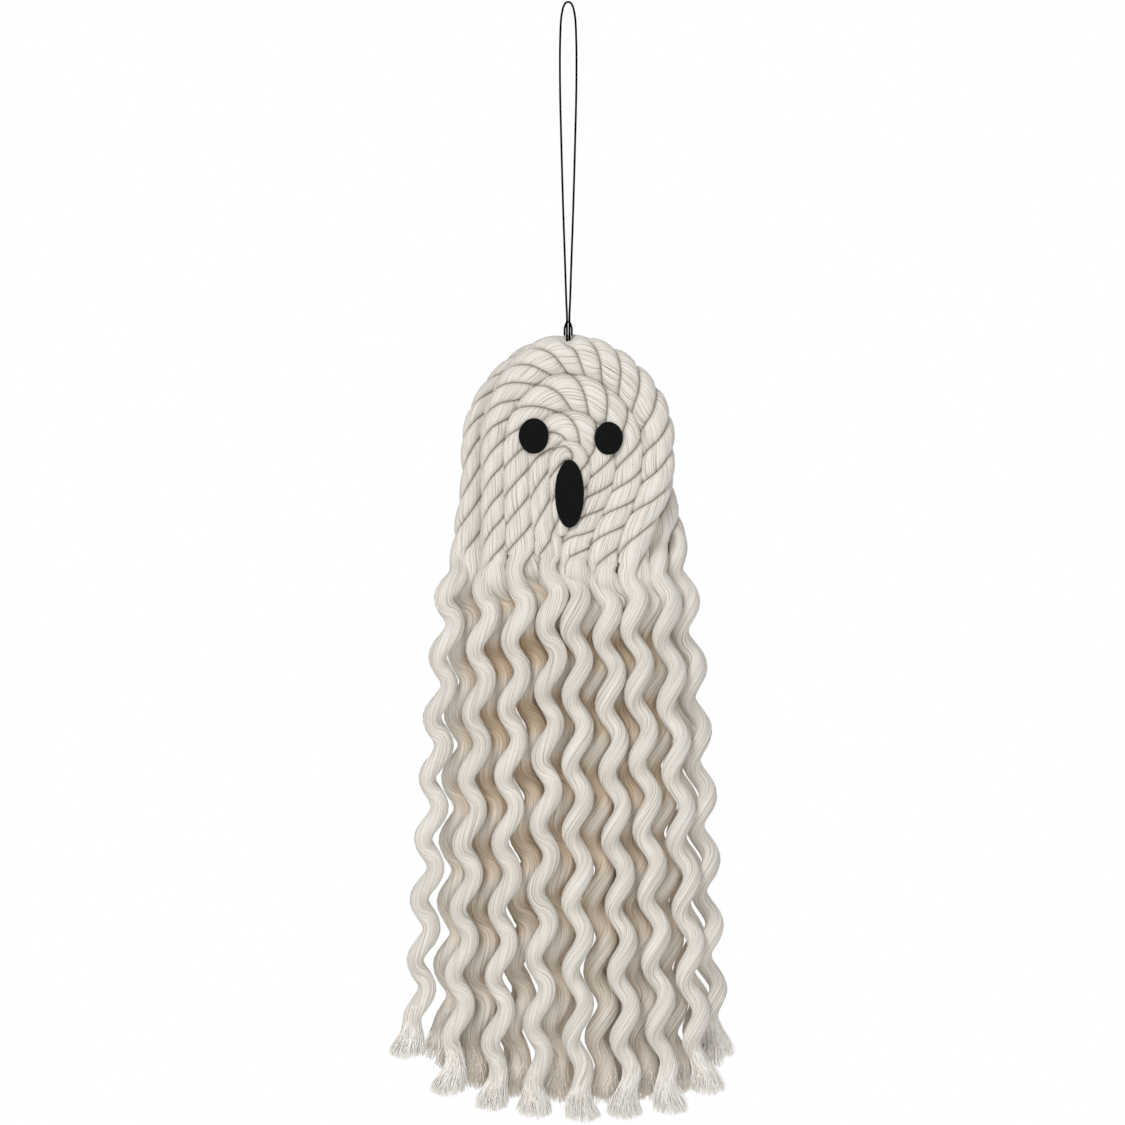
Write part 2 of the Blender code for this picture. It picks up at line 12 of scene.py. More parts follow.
import bmesh
import bpy
import numpy as np
from bpy.props import FloatProperty, FloatVectorProperty, IntProperty, PointerProperty
from bpy.types import Operator, Panel, PropertyGroup
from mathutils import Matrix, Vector

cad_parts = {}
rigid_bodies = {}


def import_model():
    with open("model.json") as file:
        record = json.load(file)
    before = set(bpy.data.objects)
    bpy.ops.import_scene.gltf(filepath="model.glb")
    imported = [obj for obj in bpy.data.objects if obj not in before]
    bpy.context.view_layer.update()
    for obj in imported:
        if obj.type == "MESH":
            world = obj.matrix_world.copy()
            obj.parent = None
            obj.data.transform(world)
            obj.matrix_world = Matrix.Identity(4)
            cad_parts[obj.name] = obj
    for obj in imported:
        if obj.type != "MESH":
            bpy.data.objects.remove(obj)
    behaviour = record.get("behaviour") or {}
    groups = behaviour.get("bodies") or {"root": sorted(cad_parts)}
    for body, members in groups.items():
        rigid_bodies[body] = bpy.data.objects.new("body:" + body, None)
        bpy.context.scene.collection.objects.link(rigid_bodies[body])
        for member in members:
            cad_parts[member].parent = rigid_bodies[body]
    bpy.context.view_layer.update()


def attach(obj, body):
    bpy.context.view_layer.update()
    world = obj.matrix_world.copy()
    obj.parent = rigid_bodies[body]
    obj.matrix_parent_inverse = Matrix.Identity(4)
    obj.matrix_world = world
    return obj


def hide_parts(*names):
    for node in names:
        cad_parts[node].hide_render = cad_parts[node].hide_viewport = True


bl_info = {
    "name": "Rope ghost decoration",
    "version": (1, 0, 0),
    "blender": (4, 5, 0),
    "location": "View3D > Sidebar > Ghost",
    "description": "Dresses a hanging ghost of laid cotton rope",
    "category": "Object",
}

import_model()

MM = 0.001
BODY = "root"

# The photograph's frame: its width in pixels, the size of a pixel on the ghost, and the
# pixel that lies on the world's origin
PHOTO_PIXELS = 1125
PIXEL = 0.385 * MM
ORIGIN_PIXEL = (568.2, 3.0)

# The sizes below are those of the frame's solids
HEAD_TOP_Z = -127.3 * MM
SEAM_X = 0.5 * MM
APEX_X = -0.5 * MM
BEND_HEIGHT_SHARE = 1.08
SHOULDER_CUT = 0.025
ROPE_DEPTH = 10.0 * MM
TOUCH_GAP = 0.3 * MM
THREAD_DIAMETER = 0.8 * MM
LEAN_DROP = 52.5 * MM
LEAN_LENGTH = 34.7 * MM

# Ropes of the face from the outside in: widths and leans as seen from the front, drops of
# the legs' ends below the head's top, length of one turn of the strands, and their turn
FRONT_ROPES = [
    {
        "name": "outer_rope",
        "widths": (8.9 * MM, 15.6 * MM, 12.7 * MM),
        "leans": (0.0, -10.0 * MM),
        "hem_drops": (87.4 * MM, 87.8 * MM),
        "lay": (31.9 * MM, 27.7 * MM, 48.8 * MM),
        "lay_start": 83.4,
    },
    {
        "name": "second_rope",
        "widths": (9.6 * MM, 14.1 * MM, 10.3 * MM),
        "leans": (1.0 * MM, -9.6 * MM),
        "hem_drops": (84.8 * MM, 88.6 * MM),
        "lay": (33.0 * MM, 30.7 * MM, 31.4 * MM),
        "lay_start": 57.8,
    },
    {
        "name": "third_rope",
        "widths": (7.9 * MM, 11.7 * MM, 9.6 * MM),
        "leans": (2.6 * MM, -10.2 * MM),
        "hem_drops": (85.5 * MM, 85.7 * MM),
        "lay": (39.3 * MM, 30.6 * MM, 23.2 * MM),
        "lay_start": 72.3,
    },
    {
        "name": "core_rope",
        "widths": (7.9 * MM, 7.9 * MM, 7.9 * MM),
        "leans": (3.3 * MM, -10.2 * MM),
        "hem_drops": (75.8 * MM, 73.0 * MM),
        "lay": (30.0 * MM, 27.0 * MM, 24.0 * MM),
        "lay_start": 60.0,
    },
]
REAR_ROPE = {
    "name": "rear_rope",
    "width": 9.3 * MM,
    "sides": (-41.9 * MM, 39.9 * MM),
    "leans": (-3.9 * MM, 6.0 * MM),
    "spread": (5.5 * MM, -6.5 * MM),
    "hem_drops": (82.5 * MM, 76.7 * MM),
    "lay": (40.9 * MM, 31.5 * MM, 35.6 * MM),
    "lay_start": 107.6,
}

# Skirt strands: diameter, wave radius, and the fan of the nine front ones
STRAND_DIAMETER = 6.7 * MM
WAVE_RADIUS = 2.8 * MM
FAN_TOP_DROP = 102.5 * MM
FAN_LOW_DROP = 260.4 * MM
FAN_TOP_X = [x * MM for x in (-45.6, -32.5, -19.4, -6.4, 2.9, 14.4, 24.8, 36.8, 43.6)]
FAN_LOW_X = [x * MM for x in (-58.0, -42.7, -27.1, -11.7, 3.3, 21.2, 34.8, 47.9, 55.2)]
FAN_BOWS = [x * MM for x in (-0.9, 0, 0, 0, 0, 0, 0, 0, 1.6)]
BOW_PEAK = 27 / 4
WAVE_LENGTHS = [x * MM for x in (23.3, 25.0, 25.8, 25.5, 26.4, 25.7, 25.7, 26.1, 24.9)]
BULGE_DROPS = [x * MM for x in (112.4, 108.3, 105.0, 99.1, 99.3, 104.6, 100.8, 104.0, 102.6)]
TIP_DROPS = [x * MM for x in (279.5, 293.9, 299.7, 302.4, 304.0, 303.1, 301.2, 293.5, 280.4)]
TIP_SHIFTS = [x * MM for x in (-3.9, -2.3, -1.2, -0.2, 1.8, -1.7, 1.9, 3.2, 0.2)]
INNER_TIP_RISE = 6.0 * MM
FRONT_ROW_SHIFT = -0.5 * MM
ROW_STEP = 7.5 * MM
ROW_SPREAD = 1.0 * MM
PART_LENGTH = 22.0 * MM
WAVE_GROWTH = 19.0 * MM
SWELL_LENGTH = 26.0 * MM
BRUSH_LENGTH = 15.0 * MM
# The strands that each leg feeds, as place across the front strands and row in depth, and
# for some how many places further in they hang at the bottom
SKIRT_STRANDS = {
    "outer_rope": (((1, 0), (1.5, 1), (1.8, 2)), ((6, 0), (6.45, 1, -0.12), (6.04, 2))),
    "second_rope": (((2, 0), (2.5, 1), (2.82, 2, -0.45)), ((5, 0), (5.5, 1), (5.15, 2))),
    "third_rope": (((3, 0), (3.4, 1), (3.58, 2)), ((4, 0), (4.5, 1), (4.38, 2, 0.35))),
    "rear_rope": (((0, 0), (0.5, 1, 0.27), (0.85, 2, 0.3)), ((7, 0), (8, 1), (7.2, 2, -0.2))),
}

STRANDS = 3
STRAND_TURN = 2 * math.pi / STRANDS
STRAND_CENTRE_SHARE = 0.53
THREAD_ROOM = THREAD_DIAMETER + 2 * TOUCH_GAP
FRONT_LAYER_Y = -(ROPE_DEPTH + THREAD_ROOM) / 2
REAR_TOP_Y = (ROPE_DEPTH + THREAD_ROOM) / 2
REAR_LEG_Y = FRONT_LAYER_Y + ROPE_DEPTH + TOUCH_GAP
REAR_LIFT_SHARE = 0.25

# How the soft strands differ from the solids: neighbouring ropes press into each other, so
# the lobes of one settle in the grooves of the next, and a pressed side goes flat
PRESSED_IN = 1.0 * MM
PRESS = 1.22
PRESS_HARDNESS = 6.0
# Half the width and depth of a loose strand where it leaves its rope, just below, and
# further down in front and behind. Those behind are squeezed wider than deep
FRONT_START_HALF = (3.4 * MM, 3.0 * MM)
INNER_START_HALF = (4.9 * MM, 3.1 * MM)
SWOLLEN_BY = 0.55 * MM
SWOLLEN_DROP = 17.0 * MM
SWOLLEN_LENGTH = 13.0 * MM
FRONT_HALF = (3.5 * MM, 3.3 * MM)
INNER_HALF = (4.1 * MM, 3.0 * MM)
# Two slow swellings along a loose strand: by what share, and the lengths of a radian
PLUMP_SHARE = 0.035
PLUMP_LENGTHS = (9 * MM, 5.3 * MM)
# Yarns to a full turn of the rope, in counts laid over each other. Their places wander: by
# how many radians, how slowly, and how much quicker from one count to the next
YARN_COUNTS = (13, 19, 29, 41)
YARN_WANDER = 0.9
YARN_WANDER_LENGTH = 17 * MM
YARN_WANDER_STEP = 0.37
# How much higher the yarns stand on a loose strand than in the rope
LOOSE_RIDGE = 2.3
# One turn of the yarns round a loose strand
YARN_TURN = 70.0 * MM
GROOVE_SHARE = 0.34
GROOVE_SHARPNESS = 3.0
# How near a strand's hidden sides come to the rope's middle, as a share of its radius
HEART_SHARE = 0.06
# Shade painted in the seams between pressed ropes, next to that in the grooves between strands:
# how dark it is, and where it starts and how wide it is, as shares of the rope's half width
SEAM_SHADE_SHARE = 0.55
SEAM_SHADE_START = 0.8
SEAM_SHADE_FADE = 0.12
# Points round a strand: on the side that shows in the lay, and on its hidden sides
OUTER_POINTS = 42
HIDDEN_POINTS = 12
ARCH_STEP = 1.4 * MM
TAIL_STEP = 1.9 * MM
MELT_LENGTH = 12.0 * MM
INNER_MELT_LENGTH = 5.0 * MM
# Where a tail's body ends above its tip, and over what length it closes. From there on only
# the brushed yarns go on
BODY_END = 2.6 * MM
BODY_CLOSING = 4 * MM
BODY_CLOSED = 0.002
# Where the brush starts above the tip, and how much wider and deeper the body gets in it
BRUSH_START = BRUSH_LENGTH * 1.1
BRUSHED_WIDTH = 1.55
BRUSHED_DEPTH = 1.15
# The cut ends of the core rope: how far they bulge, the shares of that at which they have a
# ring of points, and how far the last one is drawn in
CUT_DOME = 2.2 * MM
CUT_SHARES = (0.35, 0.65, 0.88, 1.0)
CUT_DRAWN_IN = 0.93
BEND_SAMPLES = 400
# The thread sinks into the outer rope: how deep, and how wide the dip is
DIP_DEPTH = 3.4 * MM
DIP_WIDTH = 2.3 * MM
DIP_REACH = 7.0 * MM
# Where shade is painted on the skirt's cotton, deep among its strands: depths between which that
# starts in front, and how far in from its sides. On the last row's strands the painted shade
# gives way where they are lit from behind, from the first to the second of these shares of half
# their depth
SHADE_FRONT = (-6.0 * MM, 0.5 * MM)
SHADE_SIDE = 17.0 * MM
LAST_ROW = 2
LIT_BACK = (-0.4, 0.4)
# How much of that shade is gone at the bottom, where more light comes in
SHADE_FADE = 0.7
# Below the core rope the legs of the third rope close up
CLOSE_DROP = 76.0 * MM
CLOSE_LENGTH = 4.0 * MM
CLOSE_BY = (1.8 * MM, -1.6 * MM)

# Brushed tips: points along a yarn, yarns to a bunch, and the fewest bunches
BRUSH_STEPS = 9
BUNCH_YARNS = 9
FEWEST_BUNCHES = 6
# How unevenly the bunches stand round the strand, as a share of their spacing
BUNCH_UNEVEN = 0.35
# How far out of the strand's middle bunches and yarns lie, as shares of half its width
BUNCH_DEPTHS = (0.55, 1.0)
YARN_DEPTHS = (0.3, 1.0)
# The scatter of a bunch's yarns and the most that a yarn turns on its way, in radians, and
# how far it is drawn to its bunch
BUNCH_SCATTER = 0.16
BUNCH_TURN = 0.5
BUNCH_PULL = 0.5
# Heights above the tip at which the yarns part from the strand
BRUSH_STARTS = (15 * MM, 27 * MM)
# How ragged the tip is cut, and how much higher the yarns end at its sides
RAGGED = 0.9 * MM
RAGGED_LEAST = 0.5 * MM
TIP_CROWN = 3.2 * MM
# Shares of the brush spread that a yarn may take, how far it stands proud of the strand, and
# how far its end bends off
SPREAD_RANGE = (0.75, 1.15)
PROUD_SHARE = 1.03
YARN_BEND = 0.35 * MM
# A yarn's thickness at these shares of its length, and from one yarn to the next
YARN_TAPER_AT = (0, 0.12, 0.75, 1)
YARN_TAPER = (0.5, 1.0, 0.95, 0.35)
YARN_THICKNESSES = (0.6, 1.2)
# Yarns in the tip of an inner strand, as a share of those in a front one
INNER_YARN_SHARE = 0.62

# Loose fibres: points along one, its greatest length and lift, and its width
FUZZ_STEPS = 5
FUZZ_LENGTH = 6.0 * MM
FUZZ_LIFT = 0.55 * MM
FUZZ_WIDTH = 0.07 * MM
# Shares of that length and lift that a fibre may have
FUZZ_LENGTHS = (0.4, 1.0)
FUZZ_LIFTS = (0.3, 1.0)
# How far it sways, how far round its arch goes in radians, and how deep its root lies
FUZZ_SWAY = 0.35
FUZZ_ARCH = 2.2
FUZZ_ROOT = 0.05 * MM
# Its width at these shares of its length
FUZZ_TAPER_AT = (0, 0.5, 1)
FUZZ_TAPER = (1.0, 0.8, 0.25)
# Fibres stay this many rings off a strand's two ends, and aim so many rings ahead
FUZZ_CLEAR_RINGS = (4, 10)
FUZZ_AHEAD = 3

# Seeds keep every random draw the same at each run. The last is the range of the numbers
# that set the streaks of one strand or yarn apart from those of the next
ROPE_SEEDS = {
    "rear_rope": 11,
    "outer_rope": 12,
    "second_rope": 13,
    "third_rope": 14,
    "core_rope": 15,
}
FELT_SEED = 21
TIP_SEED = 31
FUZZ_SEED = 41
STREAK_RANGE = 5


def srgb(text):
    """The linear colour, with alpha, of an sRGB hex text such as 'E8E2D8'."""
    linear = []
    for start in (0, 2, 4):
        part = int(text[start:start + 2], 16) / 255
        linear.append(part / 12.92 if part <= 0.04045 else ((part + 0.055) / 1.055) ** 2.4)
    return (*linear, 1.0)


COTTON_LIGHT = "E4DFD7"
COTTON_DARK = "938A7C"
# Painted shade: a tint multiplied into the cotton deep in the ropes' grooves and in the seams
# between pressed ropes
GROOVE_PAINTED_SHADE = "B9B1A6"
# Painted shade: a warm tint multiplied into the cotton deep among the skirt's strands
SKIRT_PAINTED_SHADE = "ECD9C0"
# Painted light: the brushed tips get paler colours than the laid cotton, standing in for the
# light that passes through their loose fibres and lifting the shade among them
LIT_BRUSHED_LIGHT = "FBF8F3"
LIT_BRUSHED_DARK = "DAD2C7"
FELT_BLACK = "131313"
FELT_DARK = "050505"
THREAD_BLACK = "030303"
FLOOR_WHITE = "F4F3F1"


class GhostYarnSizes(PropertyGroup):
    """Sizes of what shows on the strands."""

    ridge: FloatProperty(
        name="Yarn ridge",
        description="Height of the yarns on a strand",
        default=0.09 * MM,
        subtype="DISTANCE",
        unit="LENGTH",
    )
    brush_spread: FloatProperty(
        name="Brush spread",
        description="How far the brushed tips open, as a share of a strand's radius",
        default=2.3,
        min=1.0,
        max=3.0,
    )
    brush_yarns: IntProperty(
        name="Yarns in a tip",
        description="Loose yarns in the brushed tip of a front strand",
        default=250,
        min=10,
        max=300,
    )
    yarn_thickness: FloatProperty(
        name="Yarn thickness",
        description="Thickness of one loose yarn where it leaves its strand",
        default=0.45 * MM,
        subtype="DISTANCE",
        unit="LENGTH",
    )
    fuzz: IntProperty(
        name="Loose fibres",
        description="Fine fibres that stand off the whole ghost",
        default=3200,
        min=0,
        max=9000,
    )


class GhostColours(PropertyGroup):
    """Colours of the finishes."""

    cotton_light: FloatVectorProperty(
        name="Cotton, light",
        description="Colour of clean unbleached cotton",
        default=srgb(COTTON_LIGHT),
        size=4,
        subtype="COLOR",
    )
    cotton_dark: FloatVectorProperty(
        name="Cotton, dark",
        description="Colour of the darker fibres between the yarns",
        default=srgb(COTTON_DARK),
        size=4,
        subtype="COLOR",
    )
    # Painted shade deep in the ropes' grooves and in the seams between pressed ropes
    painted_groove_shade: FloatVectorProperty(
        name="Grooves",
        description="Tint of the cotton deep in the ropes' grooves",
        default=srgb(GROOVE_PAINTED_SHADE),
        size=4,
        subtype="COLOR",
    )
    # Painted shade deep among the skirt's strands
    painted_skirt_shade: FloatVectorProperty(
        name="Skirt, inside",
        description="Tint of the cotton deep between the skirt's strands",
        default=srgb(SKIRT_PAINTED_SHADE),
        size=4,
        subtype="COLOR",
    )
    felt: FloatVectorProperty(
        name="Felt",
        description="Colour of the eyes and the mouth",
        default=srgb(FELT_BLACK),
        size=4,
        subtype="COLOR",
    )
    thread: FloatVectorProperty(
        name="Thread",
        description="Colour of the hanging loop",
        default=srgb(THREAD_BLACK),
        size=4,
        subtype="COLOR",
    )


def smooth(value):
    """Rises from 0 to 1 with level ends as value goes from 0 to 1."""
    value = np.clip(value, 0.0, 1.0)
    return value * value * (3 - 2 * value)


def mix(first, second, share):
    return first + (second - first) * share


def drop_below_head(drop):
    return HEAD_TOP_Z - drop


class Outline:
    """A line along one side of a rope: up the left leg, over the bend, down the right leg."""

    def __init__(self, left, right, top_z, leans, closing=(0.0, 0.0)):
        self.sides = (left, right)
        self.leans = leans
        self.closing = closing
        self.top_z = top_z
        self.height = BEND_HEIGHT_SHARE * (right - left) / 2
        self.spring_z = top_z - self.height

    def leg_point(self, side, z):
        lean = self.leans[side] * smooth((drop_below_head(LEAN_DROP) - z) / LEAN_LENGTH)
        lean += self.closing[side] * smooth((drop_below_head(CLOSE_DROP) - z) / CLOSE_LENGTH)
        return np.array([self.sides[side] + lean, z])

    def point(self, hems, path):
        """path runs 0 to 1 up the left leg, 1 to 2 over the bend and 2 to 3 down the right."""
        if path < 1:
            return self.leg_point(0, mix(hems[0], self.spring_z, path))
        if path > 2:
            return self.leg_point(1, mix(self.spring_z, hems[1], path - 2))
        angle = math.pi * (2 - path)
        reach = (self.sides[1] if math.cos(angle) > 0 else self.sides[0]) - APEX_X
        drawn_in = 1 - SHOULDER_CUT * math.sin(2 * angle) ** 2
        x = APEX_X + reach * abs(math.cos(angle)) * drawn_in
        return np.array([x, self.spring_z + self.height * math.sin(angle) * drawn_in])


def front_outlines():
    """The outlines between the ropes of the face, from the outside in to the seam."""
    left = SEAM_X - sum(rope["widths"][0] for rope in FRONT_ROPES)
    right = SEAM_X + sum(rope["widths"][2] for rope in FRONT_ROPES)
    top = HEAD_TOP_Z
    outlines = []
    for rope in FRONT_ROPES:
        outlines.append(Outline(left, right, top, rope["leans"]))
        left += rope["widths"][0]
        right -= rope["widths"][2]
        top -= rope["widths"][1]
    outlines.append(Outline(left, right, top, (0.0, 0.0)))
    return outlines


class RopeLine:
    """The middle line of a bent rope, with its half width and the turn of its strands."""

    def __init__(self, outer, inner, rope, pressed, depth_at):
        hems = [drop_below_head(drop) for drop in rope["hem_drops"]]
        lay = rope["lay"]
        self.name = rope["name"]
        self.pressed = pressed
        self.depth_at = depth_at
        paths = np.linspace(0, 3, BEND_SAMPLES)
        outside = np.array([outer.point(hems, p) for p in paths])
        inside = np.array([inner.point(hems, p) for p in paths])
        self.points = (outside + inside) / 2
        along = np.gradient(self.points, axis=0)
        along /= np.linalg.norm(along, axis=1)[:, None]
        across = outside - inside
        widths = np.abs(across[:, 0] * along[:, 1] - across[:, 1] * along[:, 0])
        self.half_widths = widths / 2
        steps = np.linalg.norm(np.diff(self.points, axis=0), axis=1)
        self.lengths = np.concatenate([[0], np.cumsum(steps)])
        self.length = self.lengths[-1]
        from_middle = 2 * self.lengths / self.length - 1
        end_lay = np.where(from_middle < 0, lay[0], lay[2])
        rate = 2 * math.pi / mix(lay[1], end_lay, from_middle**2)
        turns = np.concatenate([[0], np.cumsum((rate[1:] + rate[:-1]) / 2 * steps)])
        middle_turn = np.interp(self.length / 2, self.lengths, turns)
        self.turns = turns - middle_turn + math.radians(rope["lay_start"])

    def middle(self, lengths):
        places = [np.interp(lengths, self.lengths, self.points[:, i]) for i in (0, 1)]
        return np.stack(places, axis=-1)

    def at(self, lengths):
        """Middle points, outward directions, half widths, turns and depths at these lengths."""
        lengths = np.asarray(lengths, float)
        forward = self.middle(lengths + MM) - self.middle(lengths - MM)
        forward /= np.linalg.norm(forward, axis=-1, keepdims=True)
        outward = np.stack([-forward[..., 1], forward[..., 0]], axis=-1)
        half_widths = np.interp(lengths, self.lengths, self.half_widths)
        turns = np.interp(lengths, self.lengths, self.turns)
        depths = self.depth_at(lengths / self.length)
        return self.middle(lengths), outward, half_widths, turns, depths


def front_depth(share):
    """The ropes of the face lie flat."""
    return np.full(np.shape(share), FRONT_LAYER_Y)


def rear_depth(share):
    """The rear rope stands off at the top, where the thread passes in front of it."""
    from_middle = np.abs(np.asarray(share) - 0.5)
    return mix(REAR_LEG_Y, REAR_TOP_Y, smooth(1 - from_middle / REAR_LIFT_SHARE))


def rope_lines():
    """All ropes by name, as their middle lines."""
    outlines = front_outlines()
    lines = {}
    for rope, outer, inner in zip(FRONT_ROPES, outlines, outlines[1:]):
        pressed = (outer is not outlines[0], True)
        if rope["name"] == "third_rope":
            inner = Outline(*inner.sides, inner.top_z, inner.leans, CLOSE_BY)
        lines[rope["name"]] = RopeLine(outer, inner, rope, pressed, front_depth)
    left, right = (SEAM_X + side for side in REAR_ROPE["sides"])
    width = REAR_ROPE["width"]
    outer = Outline(left, right, HEAD_TOP_Z, REAR_ROPE["leans"])
    inner_leans = [lean + spread for lean, spread in zip(REAR_ROPE["leans"], REAR_ROPE["spread"])]
    inner = Outline(left + width, right - width, HEAD_TOP_Z - width, inner_leans)
    lines["rear_rope"] = RopeLine(outer, inner, REAR_ROPE, (False, False), rear_depth)
    return lines


class Strand:
    """Where one unlaid strand hangs in the skirt: across, in depth, and how it waves."""

    def __init__(self, place, row, low_shift=0.0):
        places = range(len(FAN_TOP_X))
        self.inner = place != round(place)
        self.row = row
        self.top_x = SEAM_X + np.interp(place, places, FAN_TOP_X)
        self.low_x = SEAM_X + np.interp(place + low_shift, places, FAN_LOW_X)
        self.bulge_z = drop_below_head(np.interp(place, places, BULGE_DROPS))
        self.wave_length = np.interp(place, places, WAVE_LENGTHS)
        self.bow = np.interp(place, places, FAN_BOWS)
        self.tip_shift = np.interp(place, places, TIP_SHIFTS)
        rise = INNER_TIP_RISE if self.inner else 0.0
        self.tip_z = drop_below_head(np.interp(place, places, TIP_DROPS) - rise)

    def axis(self, z):
        fall = (drop_below_head(FAN_TOP_DROP) - z) / (FAN_LOW_DROP - FAN_TOP_DROP)
        bowed = np.clip(fall, 0.0, 1.0)
        x = mix(self.top_x, self.low_x, fall) + self.bow * BOW_PEAK * bowed * (1 - bowed) ** 2
        x = x + self.tip_shift * self.brushed(z) ** 2
        depth = self.row * (ROW_STEP + ROW_SPREAD * np.maximum(fall, 0.0))
        return np.stack([x, FRONT_LAYER_Y + FRONT_ROW_SHIFT + depth], axis=-1)

    def brushed(self, z):
        """Rises from 0 to 1 over the strand's last stretch, where its wave runs out."""
        return smooth((self.tip_z + 2 * BRUSH_LENGTH - z) / (2 * BRUSH_LENGTH))

    def turn(self, z):
        return 2 * math.pi * (z - self.bulge_z) / self.wave_length


class Tail:
    """The free part of a strand, from the end of its rope's leg down to its tip."""

    def __init__(self, hem_z, lobe, slope, strand):
        self.hem_z = hem_z
        self.lobe = lobe
        self.slope = slope
        self.strand = strand

    def centre(self, z):
        """Middle points at these heights. Just below the hem the strand still follows the
        slope that it had in the rope."""
        z = np.asarray(z, float)
        fallen = self.hem_z - z
        strand = self.strand
        axis = mix(self.lobe, strand.axis(z), smooth(fallen / PART_LENGTH)[..., None])
        carried = self.slope * (fallen * (1 - smooth(fallen / MELT_LENGTH)))[..., None]
        radius = WAVE_RADIUS * smooth(fallen / WAVE_GROWTH) * (1 - strand.brushed(z))
        angle = strand.turn(z)
        wave = radius[..., None] * np.stack([np.cos(angle), np.sin(angle)], axis=-1)
        return np.concatenate([axis + carried + wave, z[..., None]], axis=-1)

    def halves(self, z):
        """Half the strand's width and depth at these heights."""
        fallen = self.hem_z - z
        settled = smooth(fallen / SWELL_LENGTH)
        swollen = SWOLLEN_BY * np.exp(-(((fallen - SWOLLEN_DROP) / SWOLLEN_LENGTH) ** 2))
        starts = INNER_START_HALF if self.strand.inner else FRONT_START_HALF
        ends = INNER_HALF if self.strand.inner else FRONT_HALF
        return tuple(mix(start, end, settled) + swollen for start, end in zip(starts, ends))

    def axes(self, z):
        """Unit vectors sideways and backwards, square to the strand, at these heights."""
        forward = self.centre(z - MM / 2) - self.centre(z + MM / 2)
        forward /= np.linalg.norm(forward, axis=-1, keepdims=True)
        sideways = np.array([1.0, 0, 0]) - forward * forward[..., :1]
        sideways /= np.linalg.norm(sideways, axis=-1, keepdims=True)
        backwards = np.cross(forward, sideways)
        backwards *= np.where(backwards[..., 1:2] < 0, -1.0, 1.0)
        return sideways, backwards


def strand_outline():
    """Outline of one strand in its rope's section, as out and side shares of the rope's
    radius: a plump outer side that falls into the grooves, and two flat hidden sides."""
    share = np.linspace(-1, 1, OUTER_POINTS)
    radius = 1 - GROOVE_SHARE * np.abs(share) ** GROOVE_SHARPNESS
    angle = share * STRAND_TURN / 2
    outer = np.stack([radius * np.cos(angle), radius * np.sin(angle)], -1)
    each = HIDDEN_POINTS // 2
    inwards = np.linspace(1 - GROOVE_SHARE, HEART_SHARE, each + 1)[1:]
    edge = np.array([math.cos(STRAND_TURN / 2), math.sin(STRAND_TURN / 2)])
    upper = inwards[:, None] * edge
    lower = (inwards[:, None] * edge * [1, -1])[::-1]
    return np.concatenate([outer, upper, lower])


OUTLINE = strand_outline()
# Where each point lies among the rope's yarns: its turn round the rope, and how far it is
# on the way to the heart
INWARDS = np.linspace(1, HEART_SHARE, HIDDEN_POINTS // 2 + 1)[1:]
YARN_SHARES = np.concatenate([np.ones(OUTER_POINTS), INWARDS, INWARDS[::-1]])
YARN_TURNS = np.arctan2(OUTLINE[:, 1], OUTLINE[:, 0]) * YARN_SHARES
# Distance of each point from the first, along the outline
GIRTH = np.concatenate([[0], np.cumsum(np.linalg.norm(np.diff(OUTLINE, axis=0), axis=1))])
WHOLE_GIRTH = GIRTH[-1] + np.linalg.norm(OUTLINE[0] - OUTLINE[-1])
LOCAL = OUTLINE - [STRAND_CENTRE_SHARE, 0.0]
LOCAL_ANGLES = np.unwrap(np.arctan2(LOCAL[:, 1], LOCAL[:, 0]))
EVEN_ANGLES = LOCAL_ANGLES[0] + GIRTH / WHOLE_GIRTH * 2 * math.pi


def ridges(turns, along, phases):
    """Uneven yarns that stand up round the strand. Their places wander along it."""
    total = 0.0
    for number, (count, phase) in enumerate(zip(YARN_COUNTS, phases)):
        pace = 1 + YARN_WANDER_STEP * number
        wander = YARN_WANDER * np.sin(along / YARN_WANDER_LENGTH * pace + phase)
        total = total + np.cos(count * (turns[:, None] + YARN_TURNS) + phase + wander)
    return total / len(YARN_COUNTS)


def yarn_place(turns, along, seed):
    """A vector that runs along the yarns in x and across them in y and z. The yarns run
    along the rope, and keep their places in the strand once it has left the rope."""
    y = ROPE_DEPTH / 2 * (turns[:, None] + YARN_TURNS)
    z = np.broadcast_to(ROPE_DEPTH / 2 * (1 - YARN_SHARES), y.shape)
    return np.stack([np.broadcast_to(along[:, None], y.shape) + seed, y, z], axis=-1)


def painted_groove_shade():
    """How deep each point of the strand's outline lies in the grooves, from 0 to 1, which sets
    how much shade is painted there.
    """
    depth = (1 - np.linalg.norm(OUTLINE, axis=1)) / GROOVE_SHARE
    return np.clip(depth, 0, 1) ** 3


def painted_inner_shade(points):
    """How deep points lie among the skirt's strands, from 0 to 1, which sets how much shade is
    painted on them there.
    """
    y = points[..., 1]
    front = smooth((y - SHADE_FRONT[0]) / (SHADE_FRONT[1] - SHADE_FRONT[0]))
    fall = (drop_below_head(FAN_TOP_DROP) - points[..., 2]) / (FAN_LOW_DROP - FAN_TOP_DROP)
    left = points[..., 0] - SEAM_X - mix(FAN_TOP_X[0], FAN_LOW_X[0], fall)
    right = SEAM_X + mix(FAN_TOP_X[-1], FAN_LOW_X[-1], fall) - points[..., 0]
    inside = front * smooth(np.minimum(left, right) / SHADE_SIDE)
    return inside * (1 - SHADE_FADE * np.clip(fall, 0, 1) ** 2)


